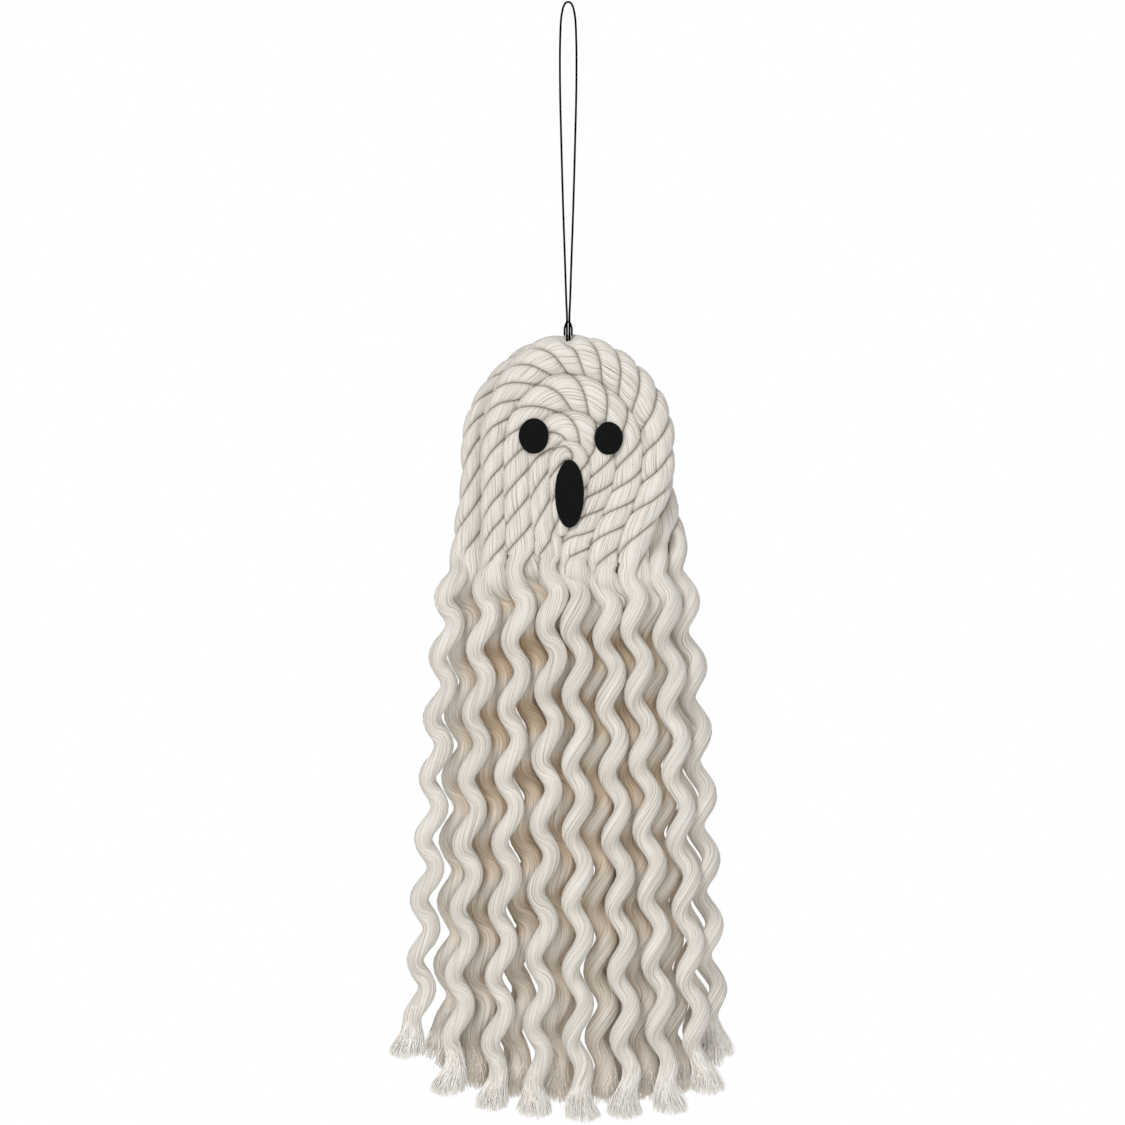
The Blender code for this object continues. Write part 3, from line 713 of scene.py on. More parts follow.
def arch_points(line, lobe, lengths, phases, ridge):
    """Rings of a strand's laid stretch, the turns of the strand and its painted shade."""
    centre, outward, half_width, turn, depth = line.at(lengths)
    middle = turn + (lobe + 0.5) * STRAND_TURN
    lift = 1 + ridge / (ROPE_DEPTH / 2) * ridges(middle, lengths[:, None], phases)
    out, side = OUTLINE[:, 0] * lift, OUTLINE[:, 1] * lift
    across = np.cos(middle)[:, None] * out - np.sin(middle)[:, None] * side
    front = np.sin(middle)[:, None] * out + np.cos(middle)[:, None] * side
    for sign, pressed in zip((1, -1), line.pressed):
        if pressed:
            squeezed = across * PRESS
            squeezed = squeezed / (1 + np.abs(squeezed) ** PRESS_HARDNESS) ** (1 / PRESS_HARDNESS)
            across = np.where(across * sign > 0, squeezed, across)
    sides = np.where(across > 0, float(line.pressed[0]), float(line.pressed[1]))
    reach = (half_width[:, None] + PRESSED_IN * sides) * across
    x = centre[:, :1] + outward[:, :1] * reach
    z = centre[:, 1:] + outward[:, 1:] * reach
    y = depth[:, None] - ROPE_DEPTH / 2 * front
    if line.name == "outer_rope":
        upper = smooth((z - HEAD_TOP_Z + DIP_REACH) / DIP_REACH)
        z = z - DIP_DEPTH * upper * np.exp(-((x / DIP_WIDTH) ** 2))
    # Shade painted deep in the grooves between strands, and in the seams between pressed ropes
    groove = np.broadcast_to(painted_groove_shade(), across.shape)
    seam = SEAM_SHADE_SHARE * sides * smooth((np.abs(across) - SEAM_SHADE_START) / SEAM_SHADE_FADE)
    grooves = np.maximum(groove, seam)
    return np.stack([x, y, z], axis=-1), middle, np.stack([grooves, 0 * grooves], axis=-1)


def leg_end(line, at_start):
    """Where a leg ends: its height, half width and turn."""
    centre, _, half_width, turn, _ = line.at(0.0 if at_start else line.length)
    return centre[1], float(half_width), float(turn)


def seen_from_above(turn, lobe, at_start):
    angle = turn + (lobe + 0.5) * STRAND_TURN
    return angle + math.pi if at_start else -angle


def lobe_place(line, lobe, at_start, inset=0.0):
    """The middle of a lobe from above, this far up the leg from its end."""
    length = inset if at_start else line.length - inset
    centre, _, half_width, turn, depth = line.at(length)
    angle = seen_from_above(float(turn), lobe, at_start)
    radii = STRAND_CENTRE_SHARE * np.array([float(half_width) - TOUCH_GAP / 2, ROPE_DEPTH / 2])
    return np.array([centre[0], float(depth)]) + radii * [math.cos(angle), math.sin(angle)]


def leg_tails(line, at_start):
    """The tails of a leg by lobe, matched to their strands with the least crossing."""
    strands = [Strand(*place) for place in SKIRT_STRANDS[line.name][0 if at_start else 1]]
    hem_z = leg_end(line, at_start)[0]
    places = [lobe_place(line, lobe, at_start) for lobe in range(STRANDS)]
    fan_top_z = drop_below_head(FAN_TOP_DROP)

    def spread(order):
        gaps = [places[lobe] - s.axis(fan_top_z) for lobe, s in zip(order, strands)]
        return sum(float(gap @ gap) for gap in gaps)

    order = min(itertools.permutations(range(STRANDS)), key=spread)
    tails = {}
    for lobe, strand in zip(order, strands):
        slope = (places[lobe] - lobe_place(line, lobe, at_start, MM)) / MM
        tails[lobe] = Tail(hem_z, places[lobe], slope, strand)
    return tails


def tail_points(line, lobe, tail, at_start, phases, ridge):
    """Rings of a tail from its hem down to the end of its body, how far each has fallen and
    its painted shade."""
    hem_z, half_width, turn = leg_end(line, at_start)
    end_z = tail.strand.tip_z + BODY_END
    count = int((hem_z - end_z) / TAIL_STEP)
    z = hem_z - np.linspace(0, hem_z - end_z, count + 1)[1:]
    fallen = hem_z - z
    melted = smooth(fallen / (INNER_MELT_LENGTH if tail.strand.inner else MELT_LENGTH))[:, None]
    middle = turn + (lobe + 0.5) * STRAND_TURN
    side = 1 if at_start else -1
    twist = side * 2 * math.pi * fallen**2 / (fallen + PART_LENGTH) / YARN_TURN
    local = mix(LOCAL_ANGLES, EVEN_ANGLES, melted)
    world = (middle + local + math.pi if at_start else -(middle + local)) + twist[:, None]
    half_wide, half_deep = (half[:, None] for half in tail.halves(z))
    opened = smooth((tail.strand.tip_z + BRUSH_START - z) / BRUSH_LENGTH)[:, None]
    closed = smooth((end_z + BODY_CLOSING - z) / BODY_CLOSING)
    closing = np.sqrt(np.clip(1 - closed, BODY_CLOSED, 1))[:, None]
    loose_ridge = ridge * mix(1, LOOSE_RIDGE, melted)
    lift = loose_ridge * ridges(np.full(len(z), middle), fallen[:, None], phases)
    swells = [np.sin(fallen / pace + phase) for pace, phase in zip(PLUMP_LENGTHS, phases)]
    plump = 1 + PLUMP_SHARE * sum(swells)[:, None]
    flat = np.stack([
        (half_wide * plump + lift) * closing * mix(1, BRUSHED_WIDTH, opened) * np.cos(world),
        (half_deep * plump + lift) * closing * mix(1, BRUSHED_DEPTH, opened) * np.sin(world),
    ], -1)
    # In the rope's last section the strand is still a wedge
    cosine, sine = math.cos(middle), math.sin(middle)
    turned = np.array([[cosine, -sine], [sine, cosine]])
    mirrored = [-1, -1] if at_start else [1, -1]
    wedge = (LOCAL @ turned.T) * [half_width, ROPE_DEPTH / 2] * mirrored
    offsets = mix(wedge[None], flat, melted[..., None])
    sideways, backwards = tail.axes(z)
    aside = offsets[..., :1] * sideways[:, None]
    points = tail.centre(z)[:, None] + aside + offsets[..., 1:] * backwards[:, None]
    # Shade painted on the cotton deep among the skirt's strands; the last row's sides that face
    # backwards are lit from behind and get none
    painted_skirt_shade = painted_inner_shade(points) * smooth(fallen / PART_LENGTH)[:, None]
    if tail.strand.row == LAST_ROW:
        lit = (offsets[..., 1] / half_deep - LIT_BACK[0]) / (LIT_BACK[1] - LIT_BACK[0])
        painted_skirt_shade = painted_skirt_shade * (1 - smooth(lit))
    shades = np.stack([(1 - melted) * painted_groove_shade()[None], painted_skirt_shade], axis=-1)
    return points, fallen, shades


def cut_end(points):
    """Rings of a cut rope end: the last ring, drawn in and rounded."""
    middle = points.mean(axis=0)
    rings = []
    for share in CUT_SHARES:
        size = math.sqrt(1 - (CUT_DRAWN_IN * share) ** 2)
        rings.append(middle + (points - middle) * size - np.array([0, 0, CUT_DOME * share]))
    return np.array(rings)


def strand_rings(line, lobe, ridge, random):
    """All rings of one strand of a rope, from its left end to its right end."""
    phases = random.uniform(0, 2 * math.pi, len(YARN_COUNTS))
    seed = random.uniform(0, STREAK_RANGE)
    count = int(line.length / ARCH_STEP)
    lengths = np.linspace(0, line.length, count + 1)
    points, turns, shades = arch_points(line, lobe, lengths, phases, ridge)
    yarns = yarn_place(turns, lengths, seed)
    ends = []
    for at_start in (True, False):
        last = 0 if at_start else -1
        if line.name in SKIRT_STRANDS:
            tail = leg_tails(line, at_start)[lobe]
            tail_rings, fallen, shade = tail_points(line, lobe, tail, at_start, phases, ridge)
            along = -fallen if at_start else line.length + fallen
            held = np.full(len(fallen), turns[last])
            ends.append((tail_rings, yarn_place(held, along, seed), shade))
        else:
            dome = cut_end(points[last])
            repeat = [len(dome), 1, 1]
            ends.append((dome, np.tile(yarns[last], repeat), np.tile(shades[last], repeat)))
    return tuple(
        np.concatenate([left[::-1], middle, right])
        for left, middle, right in zip(ends[0], (points, yarns, shades), ends[1])
    )


def ghost_collection():
    """The collection that holds the ghost's pieces."""
    found = bpy.data.collections.get("Rope ghost")
    if not found:
        found = bpy.data.collections.new("Rope ghost")
        bpy.context.scene.collection.children.link(found)
    return found


def link_new(data):
    """A piece of the ghost with this mesh or curve, and its name."""
    made = bpy.data.objects.new(data.name, data)
    ghost_collection().objects.link(made)
    return made


def tube_faces(ring_count, around):
    """Corner numbers of the quads between rings that follow each other."""
    ring = np.arange(ring_count - 1)[:, None] * around
    here = np.arange(around)[None, :]
    following = (here + 1) % around
    corners = [ring + here, ring + following, ring + around + following, ring + around + here]
    return np.stack(corners, -1).reshape(-1, 4)


# The free rims that strips of a tube's map keep along and across them, and the spot that its
# two end faces share
STRIP_RIMS = (0.01, 0.03)
END_SPOT = (0.004, 0.004)


def strip_map(mesh, ring_count, around, length, girth):
    """Lays a long tube out as rows of strips that fill the picture evenly."""
    rows = max(1, round(math.sqrt(length / girth)))
    per_row = (ring_count - 1) / rows
    ring = np.repeat(np.arange(ring_count - 1), around)
    here = np.tile(np.arange(around), ring_count - 1)
    row = np.minimum((ring / per_row).astype(int), rows - 1)
    along = np.stack([ring, ring, ring + 1, ring + 1], -1) - (row * per_row)[:, None]
    across = np.stack([here, here + 1, here + 1, here], -1)
    rim_along, rim_across = STRIP_RIMS
    u = rim_along + (1 - 2 * rim_along) * along / (per_row + 1)
    v = (row[:, None] + rim_across + (1 - 2 * rim_across) * across / around) / rows
    layer = mesh.uv_layers.new(name="OFBake")
    flat = np.stack([u, v], -1).reshape(-1, 2)
    corners = np.zeros((len(mesh.loops), 2))
    corners[:len(flat)] = flat
    corners[len(flat):] = END_SPOT
    layer.data.foreach_set("uv", corners.ravel().astype(np.float32))


def keep_values(mesh, yarns, shades):
    """Stores the run of the yarns and the two painted shades at each point for the material."""
    place = mesh.attributes.new("yarn", "FLOAT_VECTOR", "POINT")
    place.data.foreach_set("vector", yarns.reshape(-1).astype(np.float32))
    for number, name in enumerate(("groove", "inside")):
        shade = mesh.attributes.new(name, "FLOAT", "POINT")
        shade.data.foreach_set("value", shades.reshape(-1, 2)[:, number].astype(np.float32))


def tube_mesh(name, points, yarns, shades):
    """A closed tube through these rings, with its yarn places and painted shades."""
    ring_count, around = points.shape[:2]
    quads = tube_faces(ring_count, around)
    last = (ring_count - 1) * around
    faces = quads.tolist() + [list(range(around))[::-1], [last + i for i in range(around)]]
    mesh = bpy.data.meshes.new(name)
    mesh.from_pydata(points.reshape(-1, 3).tolist(), [], faces)
    keep_values(mesh, yarns, shades)
    length = np.linalg.norm(np.diff(points.mean(axis=1), axis=0), axis=1).sum()
    strip_map(mesh, ring_count, around, length, math.pi * STRAND_DIAMETER)
    mesh.shade_smooth()
    return mesh


def faces_outwards(mesh, points):
    """Whether the tube's faces look outwards, from the side of its middle ring."""
    ring_count, around = points.shape[:2]
    ring = ring_count // 2
    face = mesh.polygons[ring * around]
    middle = Vector(points[ring].mean(axis=0))
    return face.normal.dot(face.center - middle) > 0


class LooseFibres:
    """Many thin tapered fibres gathered into one mesh."""

    SIDES = 3
    # The free rim of each fibre's cell in the map, as a share of the cell
    CELL_RIM = 0.05

    def __init__(self):
        self.paths = []
        self.widths = []
        self.seeds = []

    def add(self, paths, widths, seeds):
        """paths is (fibres, points, 3), widths the thickness at each point."""
        self.paths.append(paths)
        self.widths.append(widths)
        self.seeds.append(seeds)

    def build(self, name):
        sides = self.SIDES
        all_points, all_yarns, all_faces, first = [], [], [], 0
        spots = []
        for paths, widths, seeds in zip(self.paths, self.widths, self.seeds):
            fibres, steps = paths.shape[:2]
            forward = np.gradient(paths, axis=1)
            forward /= np.linalg.norm(forward, axis=-1, keepdims=True) + 1e-12
            helper = np.where(np.abs(forward[..., 1:2]) < 0.9, [0.0, 1.0, 0.0], [1.0, 0.0, 0.0])
            one = np.cross(forward, helper)
            one /= np.linalg.norm(one, axis=-1, keepdims=True)
            two = np.cross(forward, one)
            angle = np.arange(sides) * 2 * math.pi / sides
            ring = one[:, :, None] * np.cos(angle)[:, None]
            ring = ring + two[:, :, None] * np.sin(angle)[:, None]
            points = paths[:, :, None] + ring * (widths / 2)[:, :, None, None]
            stretches = np.linalg.norm(np.diff(paths, axis=1), axis=-1)
            along = np.concatenate([np.zeros((fibres, 1)), np.cumsum(stretches, axis=1)], axis=1)
            yarn = np.stack([
                np.broadcast_to(along[:, :, None], points.shape[:3]),
                np.broadcast_to(seeds[:, None, None], points.shape[:3]),
                np.zeros(points.shape[:3]),
            ], -1)
            block = steps * sides
            starts = first + np.arange(fibres) * block
            faces = tube_faces(steps, sides)[None] + starts[:, None, None]
            all_points.append(points.reshape(-1, 3))
            all_yarns.append(yarn.reshape(-1, 3))
            all_faces.append(faces.reshape(-1, 4))
            spots.append((fibres, steps - 1))
            first += fibres * block
        points = np.concatenate(all_points)
        faces = np.concatenate(all_faces)
        mesh = bpy.data.meshes.new(name)
        mesh.from_pydata(points.tolist(), [], faces.tolist())
        # The loose fibres get the same painted shade deep among the skirt's strands
        inside = painted_inner_shade(points)
        keep_values(mesh, np.concatenate(all_yarns), np.stack([0 * inside, inside], axis=-1))
        self.map_fibres(mesh, spots)
        mesh.shade_smooth()
        return mesh

    def map_fibres(self, mesh, spots):
        """Gives each fibre a cell of its own in a square grid."""
        total = sum(fibres for fibres, _ in spots)
        grid = math.ceil(math.sqrt(total))
        sides = self.SIDES
        corners, before = [], 0
        for fibres, stretches in spots:
            number = before + np.arange(fibres)
            origin = np.stack([number % grid, number // grid], -1)
            step, side = np.meshgrid(np.arange(stretches), np.arange(sides), indexing="ij")
            u = np.stack([step, step, step + 1, step + 1], -1) / stretches
            v = np.stack([side, side + 1, side + 1, side], -1) / sides
            cell = self.CELL_RIM + (1 - 2 * self.CELL_RIM) * np.stack([u, v], -1)
            corners.append(((origin[:, None, None, None] + cell[None]) / grid).reshape(-1, 2))
            before += fibres
        layer = mesh.uv_layers.new(name="OFBake")
        layer.data.foreach_set("uv", np.concatenate(corners).ravel().astype(np.float32))


def brush_yarns(tail, count, sizes, random):
    """Loose yarns of a brushed tip: they part from the strand's body and spread to the tip,
    in small flat bunches whose ends draw together."""
    strand = tail.strand
    bunches = max(FEWEST_BUNCHES, count // BUNCH_YARNS)
    bunch = random.integers(0, bunches, count)
    uneven = random.uniform(-BUNCH_UNEVEN, BUNCH_UNEVEN, bunches)
    bunch_angle = (np.arange(bunches) + uneven) * 2 * math.pi / bunches
    bunch_depth = random.uniform(*BUNCH_DEPTHS, bunches)
    angle = random.uniform(0, 2 * math.pi, count)
    depth = np.sqrt(random.uniform(*YARN_DEPTHS, count))
    # Even over the section where they leave, and drawn to their bunch at the tip
    end_angle = bunch_angle[bunch] + random.normal(0, BUNCH_SCATTER, count)
    turn = (end_angle - angle + math.pi) % (2 * math.pi) - math.pi
    turn = np.clip(turn, -BUNCH_TURN, BUNCH_TURN)
    end_depth = mix(depth, bunch_depth[bunch], BUNCH_PULL)
    start_z = strand.tip_z + random.uniform(*BRUSH_STARTS, count)
    side = np.cos(angle + turn) * end_depth
    ragged = random.exponential(RAGGED, count) + RAGGED_LEAST
    end_z = strand.tip_z + TIP_CROWN * side ** 2 + ragged
    share = np.linspace(0, 1, BRUSH_STEPS)
    z = mix(start_z[:, None], end_z[:, None], share)
    centre = tail.centre(z)
    half_width, half_depth = tail.halves(z)
    fallen = smooth((strand.tip_z + BRUSH_START - z) / BRUSH_START)
    spread = 1 + (sizes.brush_spread - 1) * fallen * random.uniform(*SPREAD_RANGE, count)[:, None]
    turned = angle[:, None] + turn[:, None] * smooth(share)[None]
    out = mix(depth[:, None], end_depth[:, None], share) * PROUD_SHARE
    bend = random.normal(0, YARN_BEND, (count, 2))[:, None] * (share[None, :, None] ** 2)
    offset = np.stack([
        np.cos(turned) * half_width * out * spread,
        np.sin(turned) * half_depth * out * mix(1, spread, 0.5),
    ], -1)
    paths = centre.copy()
    paths[..., :2] += offset + bend
    taper = np.interp(share, YARN_TAPER_AT, YARN_TAPER)
    widths = sizes.yarn_thickness * random.uniform(*YARN_THICKNESSES, count)[:, None] * taper
    return paths, widths


def surface_fibres(points, count, random):
    """Fine fibres that leave a strand's surface at a low angle and follow its run."""
    ring_count, around = points.shape[:2]
    ring = random.integers(FUZZ_CLEAR_RINGS[0], ring_count - FUZZ_CLEAR_RINGS[1], count)
    at = random.integers(0, around, count)
    sign = random.choice([-1, 1], count)
    reach = random.uniform(*FUZZ_LENGTHS, count) * FUZZ_LENGTH
    middle = points.mean(axis=1)
    start = points[ring, at]
    out = start - middle[ring]
    out /= np.linalg.norm(out, axis=1, keepdims=True)
    ahead = points[np.clip(ring + FUZZ_AHEAD * sign, 0, ring_count - 1), at] - start
    ahead /= np.linalg.norm(ahead, axis=1, keepdims=True) + 1e-12
    sway = random.normal(0, FUZZ_SWAY, (count, 3))
    share = np.linspace(0, 1, FUZZ_STEPS)[None, :, None]
    raised = (random.uniform(*FUZZ_LIFTS, count) * FUZZ_LIFT)[:, None, None]
    paths = (
        start[:, None] - out[:, None] * FUZZ_ROOT
        + ahead[:, None] * share * reach[:, None, None]
        + out[:, None] * raised * np.sin(share * FUZZ_ARCH)
        + sway[:, None] * share ** 2 * reach[:, None, None] / 2
    )
    taper = np.interp(share[0, :, 0], FUZZ_TAPER_AT, FUZZ_TAPER)
    return paths, np.full((count, 1), FUZZ_WIDTH) * taper


def add_node(tree, kind, links=None, **settings):
    """Adds a node, sets its properties and input values, and links its inputs."""
    node = tree.nodes.new(kind)
    for key, value in settings.items():
        if hasattr(node, key):
            setattr(node, key, value)
        else:
            node.inputs[key.replace("_", " ")].default_value = value
    for key, source in (links or {}).items():
        tree.links.new(source, node.inputs[key])
    return node


def new_material(name):
    """A material with only its Principled shader, and its node tree."""
    made = bpy.data.materials.new(name)
    made.use_nodes = True
    shader = made.node_tree.nodes["Principled BSDF"]
    return made, made.node_tree, shader


def cotton_material():
    """Unbleached laid cotton: matt, off-white, with soft streaks where the yarns lie side by side
    and a faint down that catches light at the edges. Shade is painted into it deep in the grooves
    and among the skirt's strands."""
    colours = bpy.context.scene.ghost_colours
    return cotton_finish("Unbleached laid cotton", colours.cotton_light, colours.cotton_dark)


def lit_brushed_material():
    """Brushed cotton: the same loose fibres, painted paler than the laid cotton to stand for the
    light that passes through them and to lift the shade among them.
    """
    return cotton_finish("Brushed cotton", srgb(LIT_BRUSHED_LIGHT), srgb(LIT_BRUSHED_DARK))


# Yarns are about 0.7 mm wide and show for some 40 mm before they dive. Single fibres are far
# finer, and are drawn at 0.3 mm so that they show
YARN_GRAIN = (45 * MM, 0.32 * MM)
FIBRE_GRAIN = (14 * MM, 0.14 * MM)


def cotton_finish(name, light, dark):
    """A cotton material with these colours for its brightest fibres and those between."""
    found = bpy.data.materials.get(name)
    if found:
        return found
    colours = bpy.context.scene.ghost_colours
    made, tree, shader = new_material(name)
    yarn = add_node(tree, "ShaderNodeAttribute", attribute_name="yarn", attribute_type="GEOMETRY")
    grains = []
    for (along, across), detail in ((YARN_GRAIN, 2.0), (FIBRE_GRAIN, 3.0)):
        run = add_node(
            tree, "ShaderNodeMapping", {"Vector": yarn.outputs["Vector"]},
            Scale=(1 / along, 1 / across, 1 / across),
        )
        grain = add_node(
            tree, "ShaderNodeTexNoise", {"Vector": run.outputs["Vector"]},
            Scale=1.0, Detail=detail,
        )
        grains.append(grain.outputs["Fac"])
    both = add_node(tree, "ShaderNodeMix", {"A": grains[0], "B": grains[1]}, Factor=0.5)
    streaks = add_node(tree, "ShaderNodeValToRGB", {"Fac": both.outputs["Result"]})
    streaks.color_ramp.elements[0].position = 0.35
    streaks.color_ramp.elements[0].color = dark
    streaks.color_ramp.elements[1].position = 0.51
    streaks.color_ramp.elements[1].color = light
    # Painted shade: deep places are darkened and warmed, as the light that reaches them has
    # bounced off the cotton and is dim and warm
    shaded = streaks.outputs["Color"]
    for attribute, tint in (("groove", colours.painted_groove_shade), ("inside", colours.painted_skirt_shade)):
        deep = add_node(
            tree, "ShaderNodeAttribute", attribute_name=attribute, attribute_type="GEOMETRY",
        )
        tinted = add_node(tree, "ShaderNodeMix", data_type="RGBA", blend_type="MULTIPLY")
        tree.links.new(deep.outputs["Fac"], tinted.inputs["Factor"])
        tree.links.new(shaded, tinted.inputs[6])
        tinted.inputs[7].default_value = tint
        shaded = tinted.outputs[2]
    bump = add_node(
        tree, "ShaderNodeBump", {"Height": both.outputs["Result"]},
        Strength=0.85, Distance=0.35 * MM,
    )
    tree.links.new(shaded, shader.inputs["Base Color"])
    tree.links.new(bump.outputs["Normal"], shader.inputs["Normal"])
    shader.inputs["Roughness"].default_value = 0.93
    shader.inputs["Metallic"].default_value = 0.0
    shader.inputs["IOR"].default_value = 1.5
    shader.inputs["Specular IOR Level"].default_value = 0.25
    shader.inputs["Sheen Weight"].default_value = 0.12
    shader.inputs["Sheen Roughness"].default_value = 0.5
    return made


# Felt fibres are about 0.03 mm thick. They are drawn at 0.35 mm so that the grain shows
FELT_GRAIN = 0.35 * MM


def felt_material():
    """Black wool felt: very dark and matt, with a pressed tangle of fibres that shows as
    fine grain."""
    colours = bpy.context.scene.ghost_colours
    made, tree, shader = new_material("Black wool felt")
    place = add_node(tree, "ShaderNodeTexCoord")
    grain = add_node(
        tree, "ShaderNodeTexNoise", {"Vector": place.outputs["Object"]},
        Scale=1 / FELT_GRAIN, Detail=4.0,
    )
    bump = add_node(
        tree, "ShaderNodeBump", {"Height": grain.outputs["Fac"]},
        Strength=0.7, Distance=0.12 * MM,
    )
    shade = add_node(tree, "ShaderNodeValToRGB", {"Fac": grain.outputs["Fac"]})
    shade.color_ramp.elements[0].position = 0.3
    shade.color_ramp.elements[0].color = srgb(FELT_DARK)
    shade.color_ramp.elements[1].position = 0.7
    shade.color_ramp.elements[1].color = colours.felt
    tree.links.new(shade.outputs["Color"], shader.inputs["Base Color"])
    tree.links.new(bump.outputs["Normal"], shader.inputs["Normal"])
    shader.inputs["Roughness"].default_value = 0.95
    shader.inputs["Metallic"].default_value = 0.0
    shader.inputs["Specular IOR Level"].default_value = 0.12
    return made


def thread_material():
    """Black thread: dyed through, and so thin that it only shows as a matt black line."""
    colours = bpy.context.scene.ghost_colours
    made, _, shader = new_material("Black thread")
    shader.inputs["Base Color"].default_value = colours.thread
    shader.inputs["Specular IOR Level"].default_value = 0.03
    shader.inputs["Roughness"].default_value = 1.0
    shader.inputs["Metallic"].default_value = 0.0
    return made


def dress(piece, slot, material, *nodes):
    """Puts a finished piece on the frame."""
    piece.data.materials.clear()
    piece.data.materials.append(material)
    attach(piece, BODY)
    if nodes:
        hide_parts(*nodes)
    return piece


def build_strands(name):
    """The three strands of one rope as pieces."""
    sizes = bpy.context.scene.ghost_yarns
    random = np.random.default_rng(ROPE_SEEDS[name])
    line = rope_lines()[name]
    for lobe in range(STRANDS):
        points, yarns, shades = strand_rings(line, lobe, sizes.ridge, random)
        mesh = tube_mesh(f"{name}_strand_{lobe + 1}", points, yarns, shades)
        if not faces_outwards(mesh, points):
            mesh.flip_normals()
        dress(link_new(mesh), "cotton", cotton_material(), name)


class GHOST_OT_stage(Operator):
    """Sets the camera, the lamps, the floor and the backdrop"""

    bl_idname = "ghost.stage"
    bl_label = "Stage"

    def execute(self, context):
        scene = context.scene
        build_camera(scene)
        build_lamps(scene)
        build_floor(scene)
        return {"FINISHED"}


class GHOST_OT_hanging_loop(Operator):
    """Runs the black thread up from the rear rope, over the hook point and back"""

    bl_idname = "ghost.hanging_loop"
    bl_label = "Hanging loop"

    def execute(self, context):
        build_loop()
        return {"FINISHED"}


class GHOST_OT_face_ropes(Operator):
    """Lays the strands of the four ropes of the face"""

    bl_idname = "ghost.face_ropes"
    bl_label = "Face ropes"

    def execute(self, context):
        for rope in FRONT_ROPES:
            build_strands(rope["name"])
        return {"FINISHED"}


class GHOST_OT_rear_rope(Operator):
    """Lays the strands of the rope that carries the thread"""

    bl_idname = "ghost.rear_rope"
    bl_label = "Rear rope"

    def execute(self, context):
        build_strands(REAR_ROPE["name"])
        return {"FINISHED"}


class GHOST_OT_brushed_tips(Operator):
    """Opens the tips of all strands into loose yarns"""

    bl_idname = "ghost.brushed_tips"
    bl_label = "Brushed tips"

    def execute(self, context):
        build_tips(context.scene.ghost_yarns)
        return {"FINISHED"}


class GHOST_OT_loose_fibres(Operator):
    """Grows the fine fibres that stand off the cotton"""

    bl_idname = "ghost.loose_fibres"
    bl_label = "Loose fibres"

    def execute(self, context):
        build_fuzz(context.scene.ghost_yarns)
        return {"FINISHED"}


class GHOST_OT_felt_face(Operator):
    """Cuts the eyes and the mouth from felt"""

    bl_idname = "ghost.felt_face"
    bl_label = "Felt face"

    def execute(self, context):
        build_felt()
        return {"FINISHED"}


# The photograph looks straight at the face through a long lens
CAMERA_DISTANCE = 2.6
SENSOR_WIDTH = 36.0


def build_camera(scene):
    """A camera whose frame is the photograph's."""
    half = PHOTO_PIXELS / 2
    x = (half - ORIGIN_PIXEL[0]) * PIXEL
    z = (ORIGIN_PIXEL[1] - half) * PIXEL
    data = bpy.data.cameras.new("Camera")
    data.sensor_width = SENSOR_WIDTH
    data.lens = SENSOR_WIDTH * CAMERA_DISTANCE / (PHOTO_PIXELS * PIXEL)
    camera = bpy.data.objects.new("Camera", data)
    camera.location = (x, -CAMERA_DISTANCE, z)
    camera.rotation_euler = (math.radians(90), 0, 0)
    scene.collection.objects.link(camera)
    scene.camera = camera
    scene.view_settings.view_transform = "Standard"


# Lamps: place, width and power. A broad one above to the left of the face, a weaker one on
# the right, and one behind that keeps the back readable
GHOST_MIDDLE = Vector((0, 0, -0.24))
LAMPS = (
    ("Key lamp", (-0.7, -1.35, 0.6), 0.9, 16.5),
    ("Fill lamp", (0.45, -1.6, -0.35), 1.0, 7.0),
    ("Rear lamp", (0.5, 1.6, 0.4), 1.1, 24.0),
)
WORLD_LIGHT = 0.40
WHITE = (1.0, 1.0, 1.0, 1.0)


def build_lamps(scene):
    """Plain soft studio light, and a world that looks white."""
    for name, place, width, power in LAMPS:
        data = bpy.data.lights.new(name, "AREA")
        data.shape = "SQUARE"
        data.size = width
        data.energy = power
        lamp = bpy.data.objects.new(name, data)
        lamp.location = place
        lamp.rotation_euler = (GHOST_MIDDLE - Vector(place)).to_track_quat("-Z", "Y").to_euler()
        scene.collection.objects.link(lamp)
    world = bpy.data.worlds.new("Studio")
    world.use_nodes = True
    tree = world.node_tree
    tree.nodes.clear()
    ray = add_node(tree, "ShaderNodeLightPath")
    lit = add_node(tree, "ShaderNodeBackground", Color=WHITE, Strength=WORLD_LIGHT)
    white = add_node(tree, "ShaderNodeBackground", Color=WHITE, Strength=1.0)
    seen = ray.outputs["Is Camera Ray"]
    for other in ("Is Glossy Ray", "Is Transmission Ray"):
        either = {0: seen, 1: ray.outputs[other]}
        seen = add_node(tree, "ShaderNodeMath", either, operation="MAXIMUM").outputs[0]
    sources = {0: seen, 1: lit.outputs[0], 2: white.outputs[0]}
    both = add_node(tree, "ShaderNodeMixShader", sources)
    add_node(tree, "ShaderNodeOutputWorld", {"Surface": both.outputs[0]})
    scene.world = world


FLOOR_Z = -0.52
FLOOR_RADIUS = 1.1
FLOOR_SIDES = 96
# Radii between which the floor fades out
FLOOR_FADE = (0.45, FLOOR_RADIUS * 0.97)


